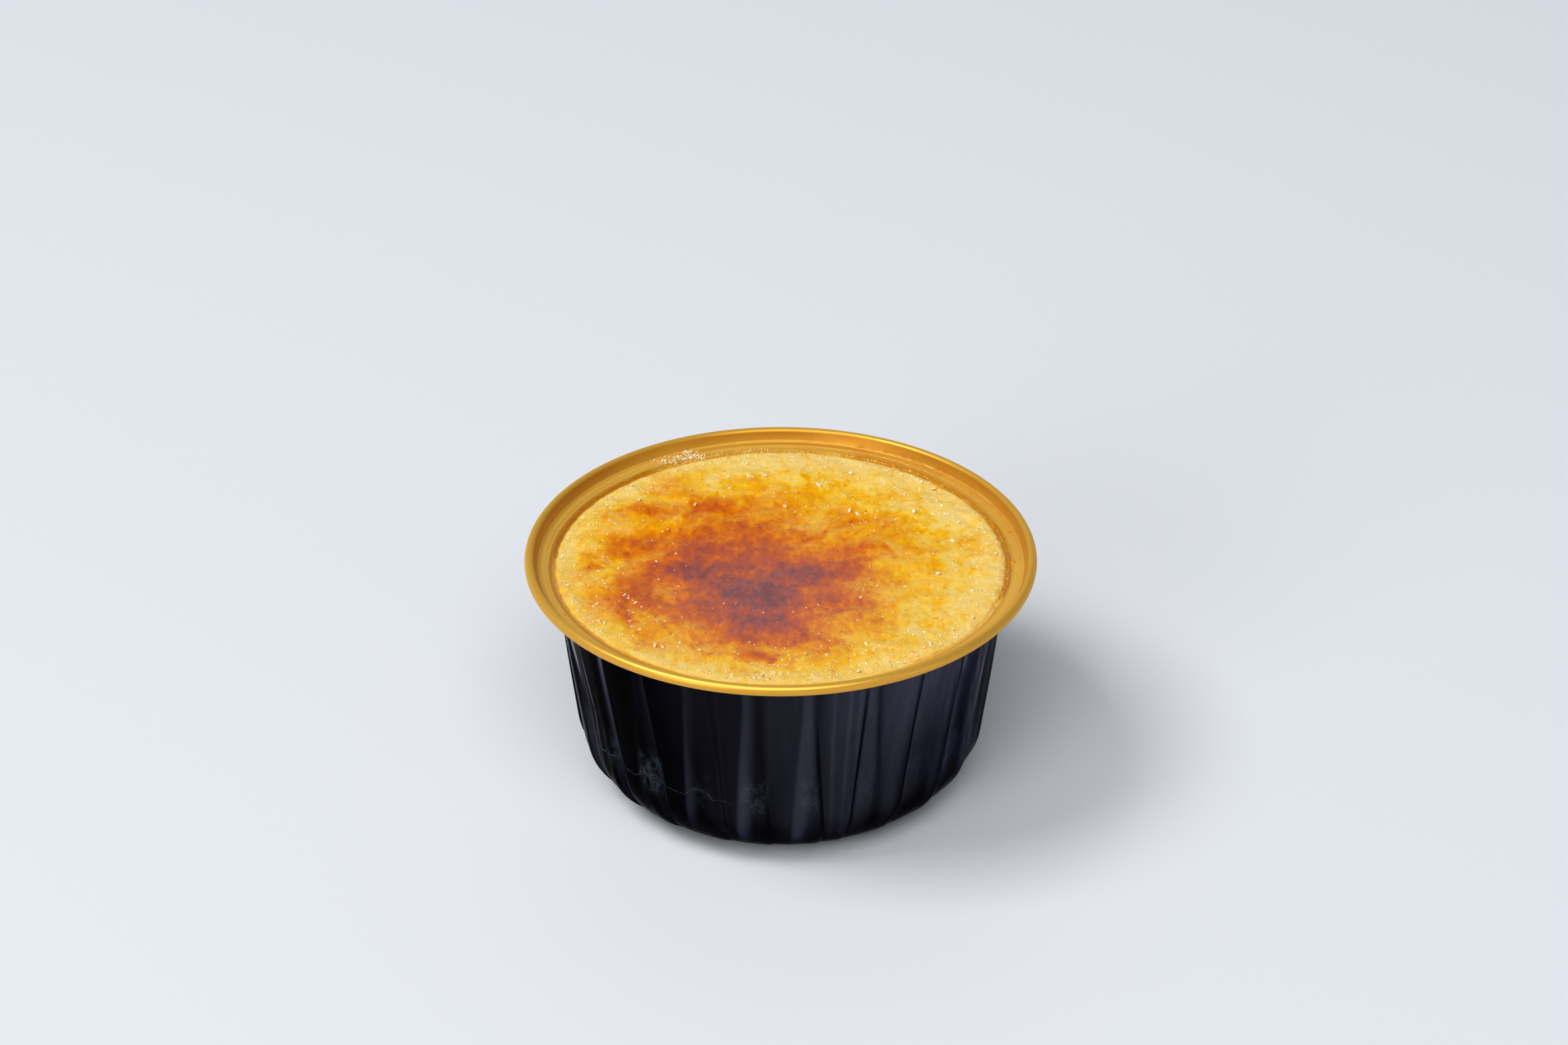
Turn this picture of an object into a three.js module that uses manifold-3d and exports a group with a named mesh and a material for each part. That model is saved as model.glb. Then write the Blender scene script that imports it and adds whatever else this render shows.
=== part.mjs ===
// A creme brulee in its foil cup. Millimetres, +Z up, origin at the centre of the cup's foot, on the table.
//
// There are two solids. The cup is one piece of drawn foil: a foot, a round corner, a tapered wall gathered
// into pleats, a narrow ledge for a lid and a rolled rim. The custard fills it up to the ledge. Its wrinkled
// crust is relief in its top face, and the largest grains of sugar are fused to it.
//
// Both are swept round the axis as a grid of rings and columns. A ring is one point of the section. The
// columns follow the creases of the pleats, so that each crease is a real edge of the faceted solid.

import Module from 'manifold-3d';
import * as THREE from 'three';
import { mergeVertices } from 'three/addons/utils/BufferGeometryUtils.js';

// Cup ----------------------------------------------------------------------------------------------------
const CUP_HEIGHT = 41.6; // table to the crest of the rim
const RIM_RADIUS = 42.5; // outside of the rolled rim
const BEAD_HALF_WIDTH = 0.82; // the roll's section
const BEAD_HALF_HEIGHT = 0.9;
const BEAD_JOIN = [-0.96, 0.28]; // where the inner wall meets the roll, in half widths and half heights
const BEAD_ARC = [-140, 160]; // degrees from outwards towards up, round the part of the roll that shows
const FOIL = 0.3; // thickness of the wall
const WALL_FOOT_RADIUS = 32.8; // where the outside of the wall, run on straight, would meet the table
const WALL_TAPER = 0.1274; // outward lean of the wall, radius gained for each unit of height
const CORNER_RADIUS = 12.4; // between the wall and the foot
const NECK_HEIGHT = 37.4; // top of the plain wall, where the ledge begins
const LEDGE_RADIUS = 40.35; // the ledge's outer edge, at the foot of the rim's inner wall
const LEDGE_HEIGHT = 39.7;
const LEDGE_SLOPE = 0.25; // fall towards the middle
const LEDGE_INNER_FILLET = 1.6;
const LEDGE_OUTER_FILLET = 0.4;
const PANEL_RADIUS = 18.5; // the foot's raised middle
const PANEL_LIFT = 0.7;
const PANEL_EDGE = 1.0; // width of the slope round the panel

// Pleats. An azimuth is counted in degrees from -Y towards +X.
const CREASES = [
  // at the neck, at the foot, depth
  [-86, -80, 0.45],
  [-70, -62.5, 0.5],
  [-52.5, -49, 0.55],
  [-37, -33.5, 0.42],
  [-19.8, -15.5, 0.45],
  [-5.8, -2, 0.4],
  [8.4, 13.4, 0.5],
  [22.5, 19, 0.35],
  [38.2, 34.6, 0.35],
  [53.5, 49.8, 0.38],
  [66, 64, 0.45],
  [81, 79, 0.4],
].map(([neck, foot, depth]) => ({ neck, foot, depth }));
const BACK_CREASES = 11; // drawn by a rule between the last crease listed and the first
const CREASE_JITTER = 2.5; // degrees
const CREASE_DEPTH = [0.32, 0.55];
const SOFT_SIDE = 0.55; // share of a pleat over which it rises out of the crease on its left
const SHARP_SIDE = 0.14; // and drops into the crease on its right
const CREST = 0.3; // height of the fold beside the sharp side
const CREST_PLACE = 0.8; // its middle and half width, as shares of a pleat
const CREST_WIDTH = 0.15;
const PLEATS_BEGIN = [0, 8]; // heights between which the pleats grow out of the foot
const PLEATS_THIN = [20, 36]; // and between which they thin out below the neck
const THINNED = 0.45; // to this share of their depth
const COLUMNS_IN_PLEAT = [0, 0.14, 0.5, 0.82];

// Custard ------------------------------------------------------------------------------------------------
const GAP = 0.3; // between the custard and the foil
const CUSTARD_SIDE_HEIGHT = 37.6; // below the ledge's fillet
const CUSTARD_EDGE_RADIUS = 37.33; // above it, where the top begins
const CUSTARD_EDGE_HEIGHT = 38.77;
const CUSTARD_LEVEL = 39.2;
const CUSTARD_EDGE_ROLL = 1.3; // width of the rounded edge
const TOP_RINGS = 13; // spaced more closely near the edge, by this power
const RING_CROWDING = 1.35;
const CRUST_FLOW = 31; // heading of the crust's wrinkles, in degrees from +X towards +Y
const CRUST_WRINKLES = [
  // length along the flow, width across it, height
  [16, 9, 0.3],
  [7, 3.6, 0.24],
].map(([length, width, height]) => ({ length, width, height }));

// Sugar --------------------------------------------------------------------------------------------------
const GRAINS = 40; // the largest only, spread evenly round and thickest near the edge
const GRAIN_SIZE = [0.55, 0.95];
const GRAIN_SIDES = [1, 0.8, 0.65]; // as shares of its size
const GRAIN_TILT = 0.6; // radians either way
const GRAIN_REACH = [36, 17]; // from the middle, the outermost first
const GRAIN_CROWDING = 2.2; // towards the outermost, as a power
const GRAIN_RISE = 0.22; // of its middle above the crust, as a share of its size
const GOLDEN_ANGLE = 137.508;

const DEGREE = Math.PI / 180;

const wasm = await Module();
wasm.setup();

// A repeatable number from 0 to 1 for each whole number.
function draw(n) {
  const x = Math.sin(n * 12.9898 + 4.1414) * 43758.5453;
  return x - Math.floor(x);
}

const mix = (a, b, t) => a + (b - a) * t;
const smoothstep = THREE.MathUtils.smoothstep;

// Pleats -------------------------------------------------------------------------------------------------

function allCreases() {
  const first = CREASES[0];
  const last = CREASES[CREASES.length - 1];
  const step = (first.neck + 360 - last.neck) / (BACK_CREASES + 1);
  const back = [];
  for (let i = 1; i <= BACK_CREASES; i += 1) {
    const middle = last.neck + step * i;
    back.push({
      neck: middle + CREASE_JITTER * (2 * draw(3 * i) - 1),
      foot: middle + CREASE_JITTER * (2 * draw(3 * i + 1) - 1),
      depth: mix(...CREASE_DEPTH, draw(3 * i + 2)),
    });
  }
  const round = [...CREASES, ...back];
  return [...round, { ...first, neck: first.neck + 360, foot: first.foot + 360 }];
}

const creases = allCreases();

function creaseAzimuth(crease, z) {
  return mix(crease.foot, crease.neck, Math.min(z / NECK_HEIGHT, 1));
}

// How strongly the wall is pleated at a height: not at all on the foot or the neck.
function pleating(z) {
  const thinning = mix(1, THINNED, smoothstep(z, ...PLEATS_THIN));
  return smoothstep(z, ...PLEATS_BEGIN) * thinning * (1 - smoothstep(z, PLEATS_THIN[1], NECK_HEIGHT));
}

// Depth of the surface below its smooth form, at a share u of the way from one crease to the next.
function pleatDepth(left, right, u) {
  const soft = Math.max(0, 1 - u / SOFT_SIDE) ** 2;
  const sharp = Math.max(0, 1 - (1 - u) / SHARP_SIDE) ** 2;
  const crest = Math.exp(-(((u - CREST_PLACE) / CREST_WIDTH) ** 2));
  return left.depth * soft + right.depth * sharp - CREST * crest;
}

// Every column of the grid, as the crease on either side of it and its share of the way between them.
function allColumns() {
  const columns = [];
  for (let k = 0; k + 1 < creases.length; k += 1) {
    COLUMNS_IN_PLEAT.forEach((share, i) => {
      const even = i / COLUMNS_IN_PLEAT.length;
      columns.push({ left: creases[k], right: creases[k + 1], share, even });
    });
  }
  return columns;
}

const columns = allColumns();

// A ring's point in a column. The section point has its outward normal, along which a pleat sinks it.
function placed(station, column) {
  const fold = pleating(station.pleatHeight);
  const u = fold > 0 ? column.share : column.even;
  const from = creaseAzimuth(column.left, station.pleatHeight);
  const to = creaseAzimuth(column.right, station.pleatHeight);
  const azimuth = mix(from, to, u) * DEGREE;
  const sunk = fold * pleatDepth(column.left, column.right, u) + station.inset;
  const radius = station.r - station.normal.r * sunk;
  const z = station.z - station.normal.z * sunk;
  return new THREE.Vector3(radius * Math.sin(azimuth), -radius * Math.cos(azimuth), z);
}

// Section ------------------------------------------------------------------------------------------------

// Points of an arc, both ends included, as [r, z].
function arc(centre, radiusR, radiusZ, from, to, steps) {
  const points = [];
  for (let i = 0; i <= steps; i += 1) {
    const a = mix(from, to, i / steps) * DEGREE;
    points.push([centre[0] + radiusR * Math.cos(a), centre[1] + radiusZ * Math.sin(a)]);
  }
  return points;
}

// Where two lines cross, each given by a point and a direction.
function crossing([p, d], [q, e]) {
  const t = ((q[0] - p[0]) * e[1] - (q[1] - p[1]) * e[0]) / (d[0] * e[1] - d[1] * e[0]);
  return [p[0] + d[0] * t, p[1] + d[1] * t];
}

const unit = ([x, y]) => [x / Math.hypot(x, y), y / Math.hypot(x, y)];

// The corner between two points, rounded off, as points from the first side to the second.
function fillet(before, corner, after, radius, steps) {
  const a = unit([before[0] - corner[0], before[1] - corner[1]]);
  const b = unit([after[0] - corner[0], after[1] - corner[1]]);
  const half = Math.acos(a[0] * b[0] + a[1] * b[1]) / 2;
  const reach = radius / Math.tan(half);
  const inward = unit([a[0] + b[0], a[1] + b[1]]);
  const centre = [0, 1].map((i) => corner[i] + (inward[i] * radius) / Math.sin(half));
  const ends = [a, b].map((side) => [corner[0] + side[0] * reach, corner[1] + side[1] * reach]);
  const start = Math.atan2(ends[0][1] - centre[1], ends[0][0] - centre[0]);
  let turn = Math.atan2(ends[1][1] - centre[1], ends[1][0] - centre[0]) - start;
  turn -= Math.round(turn / (2 * Math.PI)) * 2 * Math.PI;
  return arc(centre, radius, radius, start / DEGREE, (start + turn) / DEGREE, steps);
}

const TAPER_ANGLE = Math.atan(WALL_TAPER);
const WALL_NORMAL = { r: Math.cos(TAPER_ANGLE), z: -Math.sin(TAPER_ANGLE) };
const CORNER_CENTRE = [
  WALL_FOOT_RADIUS + WALL_TAPER * CORNER_RADIUS - CORNER_RADIUS / Math.cos(TAPER_ANGLE),
  CORNER_RADIUS,
];

// Stations of the outside of the cup, from the middle of the foot up to a height on the wall.
function bowlStations(top, cornerSteps, wallSteps) {
  const down = { r: 0, z: -1 };
  const stations = [
    { r: 0, z: PANEL_LIFT, normal: down },
    { r: PANEL_RADIUS - PANEL_EDGE, z: PANEL_LIFT, normal: down },
    { r: PANEL_RADIUS, z: 0, normal: down },
  ];
  const endAngle = -TAPER_ANGLE / DEGREE;
  const corner = arc(CORNER_CENTRE, CORNER_RADIUS, CORNER_RADIUS, -90, endAngle, cornerSteps);
  for (const [r, z] of corner) {
    const normal = { r: (r - CORNER_CENTRE[0]) / CORNER_RADIUS, z: (z - CORNER_CENTRE[1]) / CORNER_RADIUS };
    stations.push({ r, z, normal });
  }
  const wallStart = stations[stations.length - 1].z;
  for (let i = 1; i <= wallSteps; i += 1) {
    const z = mix(wallStart, top, i / wallSteps);
    stations.push({ r: WALL_FOOT_RADIUS + WALL_TAPER * z, z, normal: WALL_NORMAL });
  }
  return stations.map((s) => ({ ...s, pleatHeight: s.z, inset: 0 }));
}

// The same stations moved in from the outside of the cup, from the top down to the middle.
function inner(stations, inset) {
  return stations.map((s) => ({ ...s, inset })).reverse();
}

const plain = ([r, z]) => ({ r, z, normal: { r: 0, z: 0 }, pleatHeight: CUP_HEIGHT, inset: 0 });

// Ledge and rolled rim, without pleats: out along the underside, round the roll and back along the top.
function rimStations() {
  const beadCentre = [RIM_RADIUS - BEAD_HALF_WIDTH, CUP_HEIGHT - BEAD_HALF_HEIGHT];
  const wallDirection = unit([WALL_TAPER, 1]);
  const ledgeDirection = unit([1, LEDGE_SLOPE]);
  const beadJoin = [
    beadCentre[0] + BEAD_HALF_WIDTH * BEAD_JOIN[0],
    beadCentre[1] + BEAD_HALF_HEIGHT * BEAD_JOIN[1],
  ];
  const ledgeCorner = [LEDGE_RADIUS, LEDGE_HEIGHT];
  const riseDirection = unit([beadJoin[0] - ledgeCorner[0], beadJoin[1] - ledgeCorner[1]]);

  // One skin of the foil from the neck to the roll, moved out from the top skin.
  function skin(thickness) {
    const away = (point, [dr, dz]) => [point[0] + dz * thickness, point[1] - dr * thickness];
    const neckInside = [
      WALL_FOOT_RADIUS + WALL_TAPER * NECK_HEIGHT - WALL_NORMAL.r * FOIL,
      NECK_HEIGHT - WALL_NORMAL.z * FOIL,
    ];
    const neck = away(neckInside, wallDirection);
    const ledgeStart = away(ledgeCorner, ledgeDirection);
    const riseStart = away(beadJoin, riseDirection);
    const innerCorner = crossing([neck, wallDirection], [ledgeStart, ledgeDirection]);
    const outerCorner = crossing([ledgeStart, ledgeDirection], [riseStart, riseDirection]);
    return [
      ...fillet(neck, innerCorner, outerCorner, LEDGE_INNER_FILLET - thickness, 3),
      ...fillet(innerCorner, outerCorner, riseStart, LEDGE_OUTER_FILLET + thickness, 2),
    ];
  }

  const roll = arc(beadCentre, BEAD_HALF_WIDTH, BEAD_HALF_HEIGHT, ...BEAD_ARC, 9);
  return [...skin(FOIL), ...roll, ...skin(0).reverse()].map(plain);
}

// Solids -------------------------------------------------------------------------------------------------

// A closed grid: rings of columns between two points on the axis, wound so that its faces point out.
function sweptSolid(bottom, rings, top) {
  const count = columns.length;
  const points = [bottom, ...rings.flat(), top];
  const at = (ring, column) => 1 + ring * count + (column % count);
  const faces = [];
  for (let c = 0; c < count; c += 1) {
    faces.push(0, at(0, c + 1), at(0, c));
    for (let r = 0; r + 1 < rings.length; r += 1) {
      faces.push(at(r, c), at(r, c + 1), at(r + 1, c + 1));
      faces.push(at(r, c), at(r + 1, c + 1), at(r + 1, c));
    }
    faces.push(at(rings.length - 1, c), at(rings.length - 1, c + 1), points.length - 1);
  }
  const geometry = new THREE.BufferGeometry().setFromPoints(points);
  geometry.setIndex(faces);
  geometry.computeVertexNormals();
  return geometry;
}

const ringOf = (station) => columns.map((column) => placed(station, column));
const onAxis = (station) => new THREE.Vector3(0, 0, station.z + station.inset);

function cup() {
  const outside = bowlStations(NECK_HEIGHT - 0.2, 4, 4);
  const inside = inner(outside, FOIL);
  const rings = [...outside.slice(1), ...rimStations(), ...inside.slice(0, -1)].map(ringOf);
  const foil = new THREE.MeshStandardMaterial({ color: '#15151b', roughness: 0.32, metalness: 0.6 });
  const mesh = new THREE.Mesh(sweptSolid(onAxis(outside[0]), rings, onAxis(inside.at(-1))), foil);
  mesh.name = 'cup';
  return mesh;
}

// Smooth noise from -1 to 1 with a spacing of 1, from numbers drawn at the corners of a square lattice.
function noise(x, y, seed) {
  const column = Math.floor(x);
  const row = Math.floor(y);
  const u = smoothstep(x - column, 0, 1);
  const v = smoothstep(y - row, 0, 1);
  const corner = (i, j) => draw((column + i) * 37 + (row + j) * 101 + seed * 17);
  return 2 * mix(mix(corner(0, 0), corner(1, 0), u), mix(corner(0, 1), corner(1, 1), u), v) - 1;
}

// Height of the crust above its mean level: wrinkles and hollows drawn out along its flow.
function crustRelief(x, y) {
  const heading = CRUST_FLOW * DEGREE;
  const along = x * Math.cos(heading) + y * Math.sin(heading);
  const across = y * Math.cos(heading) - x * Math.sin(heading);
  const heights = CRUST_WRINKLES.map((w, i) => w.height * noise(along / w.length, across / w.width, i));
  return heights.reduce((sum, height) => sum + height, 0);
}

// One ring of the custard's top, at a share of the way from the edge to the middle.
function topRing(edge, share) {
  const inFromEdge = share * CUSTARD_EDGE_RADIUS;
  const roll = Math.sqrt(1 - Math.max(0, 1 - inFromEdge / CUSTARD_EDGE_ROLL) ** 2);
  return edge.map((p) => {
    const x = p.x * (1 - share);
    const y = p.y * (1 - share);
    const full = CUSTARD_LEVEL + crustRelief(x, y);
    return new THREE.Vector3(x, y, mix(CUSTARD_EDGE_HEIGHT, full, roll));
  });
}

function bareCustard() {
  const stations = bowlStations(CUSTARD_SIDE_HEIGHT, 4, 3).map((s) => ({ ...s, inset: FOIL + GAP }));
  const edge = ringOf(plain([CUSTARD_EDGE_RADIUS, CUSTARD_EDGE_HEIGHT]));
  const top = [];
  for (let i = 1; i < TOP_RINGS; i += 1) {
    top.push(topRing(edge, (i / TOP_RINGS) ** RING_CROWDING));
  }
  const middle = new THREE.Vector3(0, 0, CUSTARD_LEVEL + crustRelief(0, 0));
  return sweptSolid(onAxis(stations[0]), [...stations.slice(1).map(ringOf), edge, ...top], middle);
}

// A grain of sugar: a block with unequal sides, turned at random and half sunk in the crust.
function grain(i) {
  const [size, reach, turnX, turnY, turnZ] = [0, 1, 2, 3, 4].map((k) => draw(500 + 10 * i + k));
  const long = mix(...GRAIN_SIZE, size);
  const distance = mix(...GRAIN_REACH, reach ** GRAIN_CROWDING);
  const azimuth = i * GOLDEN_ANGLE * DEGREE;
  const x = distance * Math.sin(azimuth);
  const y = -distance * Math.cos(azimuth);
  const block = new THREE.BoxGeometry(...GRAIN_SIDES.map((side) => side * long));
  block.rotateX(mix(-GRAIN_TILT, GRAIN_TILT, turnX));
  block.rotateY(mix(-GRAIN_TILT, GRAIN_TILT, turnY));
  block.rotateZ(turnZ * Math.PI);
  return block.translate(x, y, CUSTARD_LEVEL + crustRelief(x, y) + GRAIN_RISE * long);
}

function toManifold(geometry) {
  geometry.deleteAttribute('normal');
  geometry.deleteAttribute('uv');
  const merged = mergeVertices(geometry);
  const vertProperties = new Float32Array(merged.attributes.position.array);
  const triVerts = new Uint32Array(merged.index.array);
  return new wasm.Manifold(new wasm.Mesh({ numProp: 3, vertProperties, triVerts }));
}

function toGeometry(manifold) {
  const { vertProperties, triVerts } = manifold.getMesh();
  const geometry = new THREE.BufferGeometry();
  geometry.setAttribute('position', new THREE.BufferAttribute(vertProperties, 3));
  geometry.setIndex(new THREE.BufferAttribute(triVerts, 1));
  geometry.computeVertexNormals();
  return geometry;
}

function custard() {
  let solid = toManifold(bareCustard());
  for (let i = 0; i < GRAINS; i += 1) {
    solid = solid.add(toManifold(grain(i)));
  }
  const cream = new THREE.MeshStandardMaterial({ color: '#edb23e', roughness: 0.35, metalness: 0 });
  const mesh = new THREE.Mesh(toGeometry(solid), cream);
  mesh.name = 'custard';
  return mesh;
}

const cremeBrulee = new THREE.Group();
cremeBrulee.name = 'creme_brulee';
cremeBrulee.add(cup(), custard());

export default cremeBrulee;
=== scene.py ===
import math

import bpy
import numpy as np
from mathutils import Matrix, Vector


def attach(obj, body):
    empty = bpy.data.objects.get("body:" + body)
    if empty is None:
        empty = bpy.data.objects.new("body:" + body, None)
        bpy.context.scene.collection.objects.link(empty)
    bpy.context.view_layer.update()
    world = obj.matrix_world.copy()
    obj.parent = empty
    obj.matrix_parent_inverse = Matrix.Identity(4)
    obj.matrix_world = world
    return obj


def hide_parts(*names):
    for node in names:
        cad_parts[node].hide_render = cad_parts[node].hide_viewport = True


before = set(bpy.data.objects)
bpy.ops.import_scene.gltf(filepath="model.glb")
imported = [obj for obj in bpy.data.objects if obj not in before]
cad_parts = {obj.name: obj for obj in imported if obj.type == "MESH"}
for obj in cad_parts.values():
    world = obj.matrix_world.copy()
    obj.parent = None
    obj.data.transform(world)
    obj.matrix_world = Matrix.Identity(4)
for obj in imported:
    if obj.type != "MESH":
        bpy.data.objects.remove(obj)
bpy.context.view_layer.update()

# A creme brulee in its foil cup. Sizes here are in millimetres, as the CAD source has them, and MM turns them
# into Blender's metres. +Z is up, the origin is the middle of the cup's foot, and -Y faces the camera.
MM = 0.001

# The picture ----------
PICTURE = (2353, 1568)  # pixels
FOCAL_LENGTH_PX = 5420.4
SENSOR_WIDTH = 36  # to which the focal length is turned
CAMERA_DISTANCE = 600.0  # from the middle of the rim
CAMERA_ELEVATION = math.radians(30.909)
RIM_MIDDLE_HEIGHT = 40.7
RIM_MIDDLE_SEEN = (-4.87, 46.7)  # pixels right of and below the picture's middle

# The cup, as in the CAD source ----------
CUP_HEIGHT = 41.6
RIM_RADIUS = 42.5
BEAD_HALF_WIDTH = 0.82
BEAD_HALF_HEIGHT = 0.9
FOIL = 0.3
WALL_FOOT_RADIUS = 32.8
WALL_TAPER = 0.1274
CORNER_RADIUS = 12.4
NECK_HEIGHT = 37.4
LEDGE_RADIUS = 40.35
LEDGE_HEIGHT = 39.7
LEDGE_SLOPE = 0.25
LEDGE_INNER_FILLET = 1.6
LEDGE_OUTER_FILLET = 0.4
PANEL_RADIUS = 18.5
PANEL_LIFT = 0.7
PANEL_EDGE = 1.0
RISE_JOIN = (0.96, 0.28)  # where the rise meets the bead, inwards and up, as shares of its half sizes
ROLL_FROM, ROLL_TO = -140, 160  # degrees round the bead
NECK_GAP = 0.2  # between the wall's last ring and the neck

# Steps of the cup's mesh, of which the skin's is the longest allowed, in millimetres.
PANEL_SHARES, EDGE_SHARES = (0.2, 0.5, 0.8, 1), (0.35, 0.65, 1)
CORNER_STEPS, WALL_STEPS, FILLET_STEPS, ROLL_STEPS = 16, 34, 8, 30
SKIN_STEP = 0.07

# Pleats: azimuth at the neck and at the foot, in degrees from -Y towards +X, and depth.
CREASES = [
    (-86, -80, 0.45), (-70, -62.5, 0.5), (-52.5, -49, 0.55), (-37, -33.5, 0.42), (-19.8, -15.5, 0.45),
    (-5.8, -2, 0.4), (8.4, 13.4, 0.5), (22.5, 19, 0.35), (38.2, 34.6, 0.35), (53.5, 49.8, 0.38), (66, 64, 0.45),
    (81, 79, 0.4),
]
BACK_CREASES = 11
CREASE_JITTER = 2.5
CREASE_DEPTH = (0.32, 0.55)
SOFT_SIDE = 0.55
SHARP_SIDE = 0.14
CREST = 0.3
CREST_PLACE = 0.8
CREST_WIDTH = 0.15
# The fold's own sharp edge, which is finer than the CAD's faces: height, place and half width as shares.
LIP = 0.06
LIP_PLACE = 0.915
LIP_WIDTH = 0.03
PLEATS_START = (0, 8)  # heights between which they deepen
PLEATS_THINNING = (20, 36)  # heights between which they thin out, to a share
PLEATS_THINNED = 0.45
COARSE_COLUMNS, FINE_COLUMNS = 34, 18  # from one crease to the crest, and from there to the next crease

# Small ribs between them: azimuth at their lower and upper end, heights of the ends, half width in degrees, rise.
RIBS = [
    (26, 27, 22, 33, 1.6, -0.12), (13, 19, 14, 34, 0.8, 0.06), (-18, -16, 14, 29, 0.8, 0.06),
    (-39.6, -39.6, 23, 34, 1.2, 0.06), (-50, -53, 14, 34, 1.0, 0.08), (-15, -14, 6, 8, 1.8, 0.1),
    (46, 46, 12, 30, 1.4, 0.05), (61, 60, 10, 30, 1.0, 0.06),
]
RIB_FADE = 2

# Where other cups have rubbed the wall: azimuths from and to, and strength.
SCUFFS = [
    (-74, -58, 0.35), (-56, -50, 0.5), (-41.5, -34, 1), (-26, -19, 0.25), (-10.5, -4, 0.6), (5, 10.5, 0.5),
    (20.5, 26.5, 0.35), (36, 43, 0.3), (50.5, 57, 0.45),
]
SCUFF_BAND = (10, 15, 17, 21)  # heights at which they start, are full, fade and end
SCUFF_FADE = 1.5
# The line another cup's rim has scratched round it: azimuth and height.
RUB_LINE = [
    (-63, 13.3), (-60.1, 13.4), (-55, 14.4), (-51.7, 15), (-49.4, 14.6), (-48, 13.4), (-44, 13.3), (-41, 14.5),
    (-38.5, 15.1), (-36, 15), (-33.8, 13.6), (-29, 13.6), (-27, 13.6), (-24.5, 15), (-22, 15.4), (-20, 15),
    (-18.5, 13.7), (-13, 13.5),
]
RUB_AGAIN = [(-42, -33, 0.5), (-24, -18.5, 0.4)]  # where a second line runs above it, and how far above
RUB_WIDTH = 0.07
RUB_WANDER = 0.05
RUB_LIFT = 0.02  # above the lacquer
RUB_STEPS = 420

# Painted sheen on the lacquer, its reflections of the surroundings, from 0 to 1: azimuth, and the sheen at
# SHEEN_HEIGHTS.
SHEEN_HEIGHTS = (34, 21, 8)
PAINTED_SHEEN_BY_AZIMUTH = [
    (-180, 0.05, 0.05, 0.05), (-90, 0, 0, 0), (-62, 0.1, 0.08, 0.15), (-57, 0.05, 0, 0.02), (-45, 0, 0, 0),
    (-20, 0.02, 0, 0), (-12, 0.03, 0.03, 0.05), (-5, 0.02, 0.01, 0), (-3, 0.1, 0.06, 0), (4, 0.1, 0.08, 0.1),
    (9.5, 0.06, 0.05, 0.04), (13, 0.2, 0.12, 0.08), (20, 0.2, 0.15, 0.1), (26, 0.2, 0.12, 0.05),
    (30, 0.3, 0.19, 0.1), (36, 0.4, 0.18, 0.1), (42, 0.42, 0.15, 0.03), (46, 0.46, 0.2, 0.12),
    (52, 0.46, 0.24, 0.2), (57, 0.42, 0.18, 0.14), (60.5, 0.5, 0.52, 0.4), (64, 0.52, 0.58, 0.5),
    (67, 0.52, 0.55, 0.5), (70, 0.5, 0.35, 0.5), (75, 0.42, 0.36, 0.42), (83, 0.26, 0.24, 0.26),
    (95, 0.1, 0.1, 0.1), (120, 0.05, 0.05, 0.05), (180, 0.05, 0.05, 0.05),
]
FOOT_CORNER = (5, 9)  # heights between which the foot's extra painted sheen gives way to the wall's
FOOT_SHEEN_GAIN, FOOT_SHEEN = 1.5, 0.06  # what it multiplies the painted sheen by, and what painted sheen it adds
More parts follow.
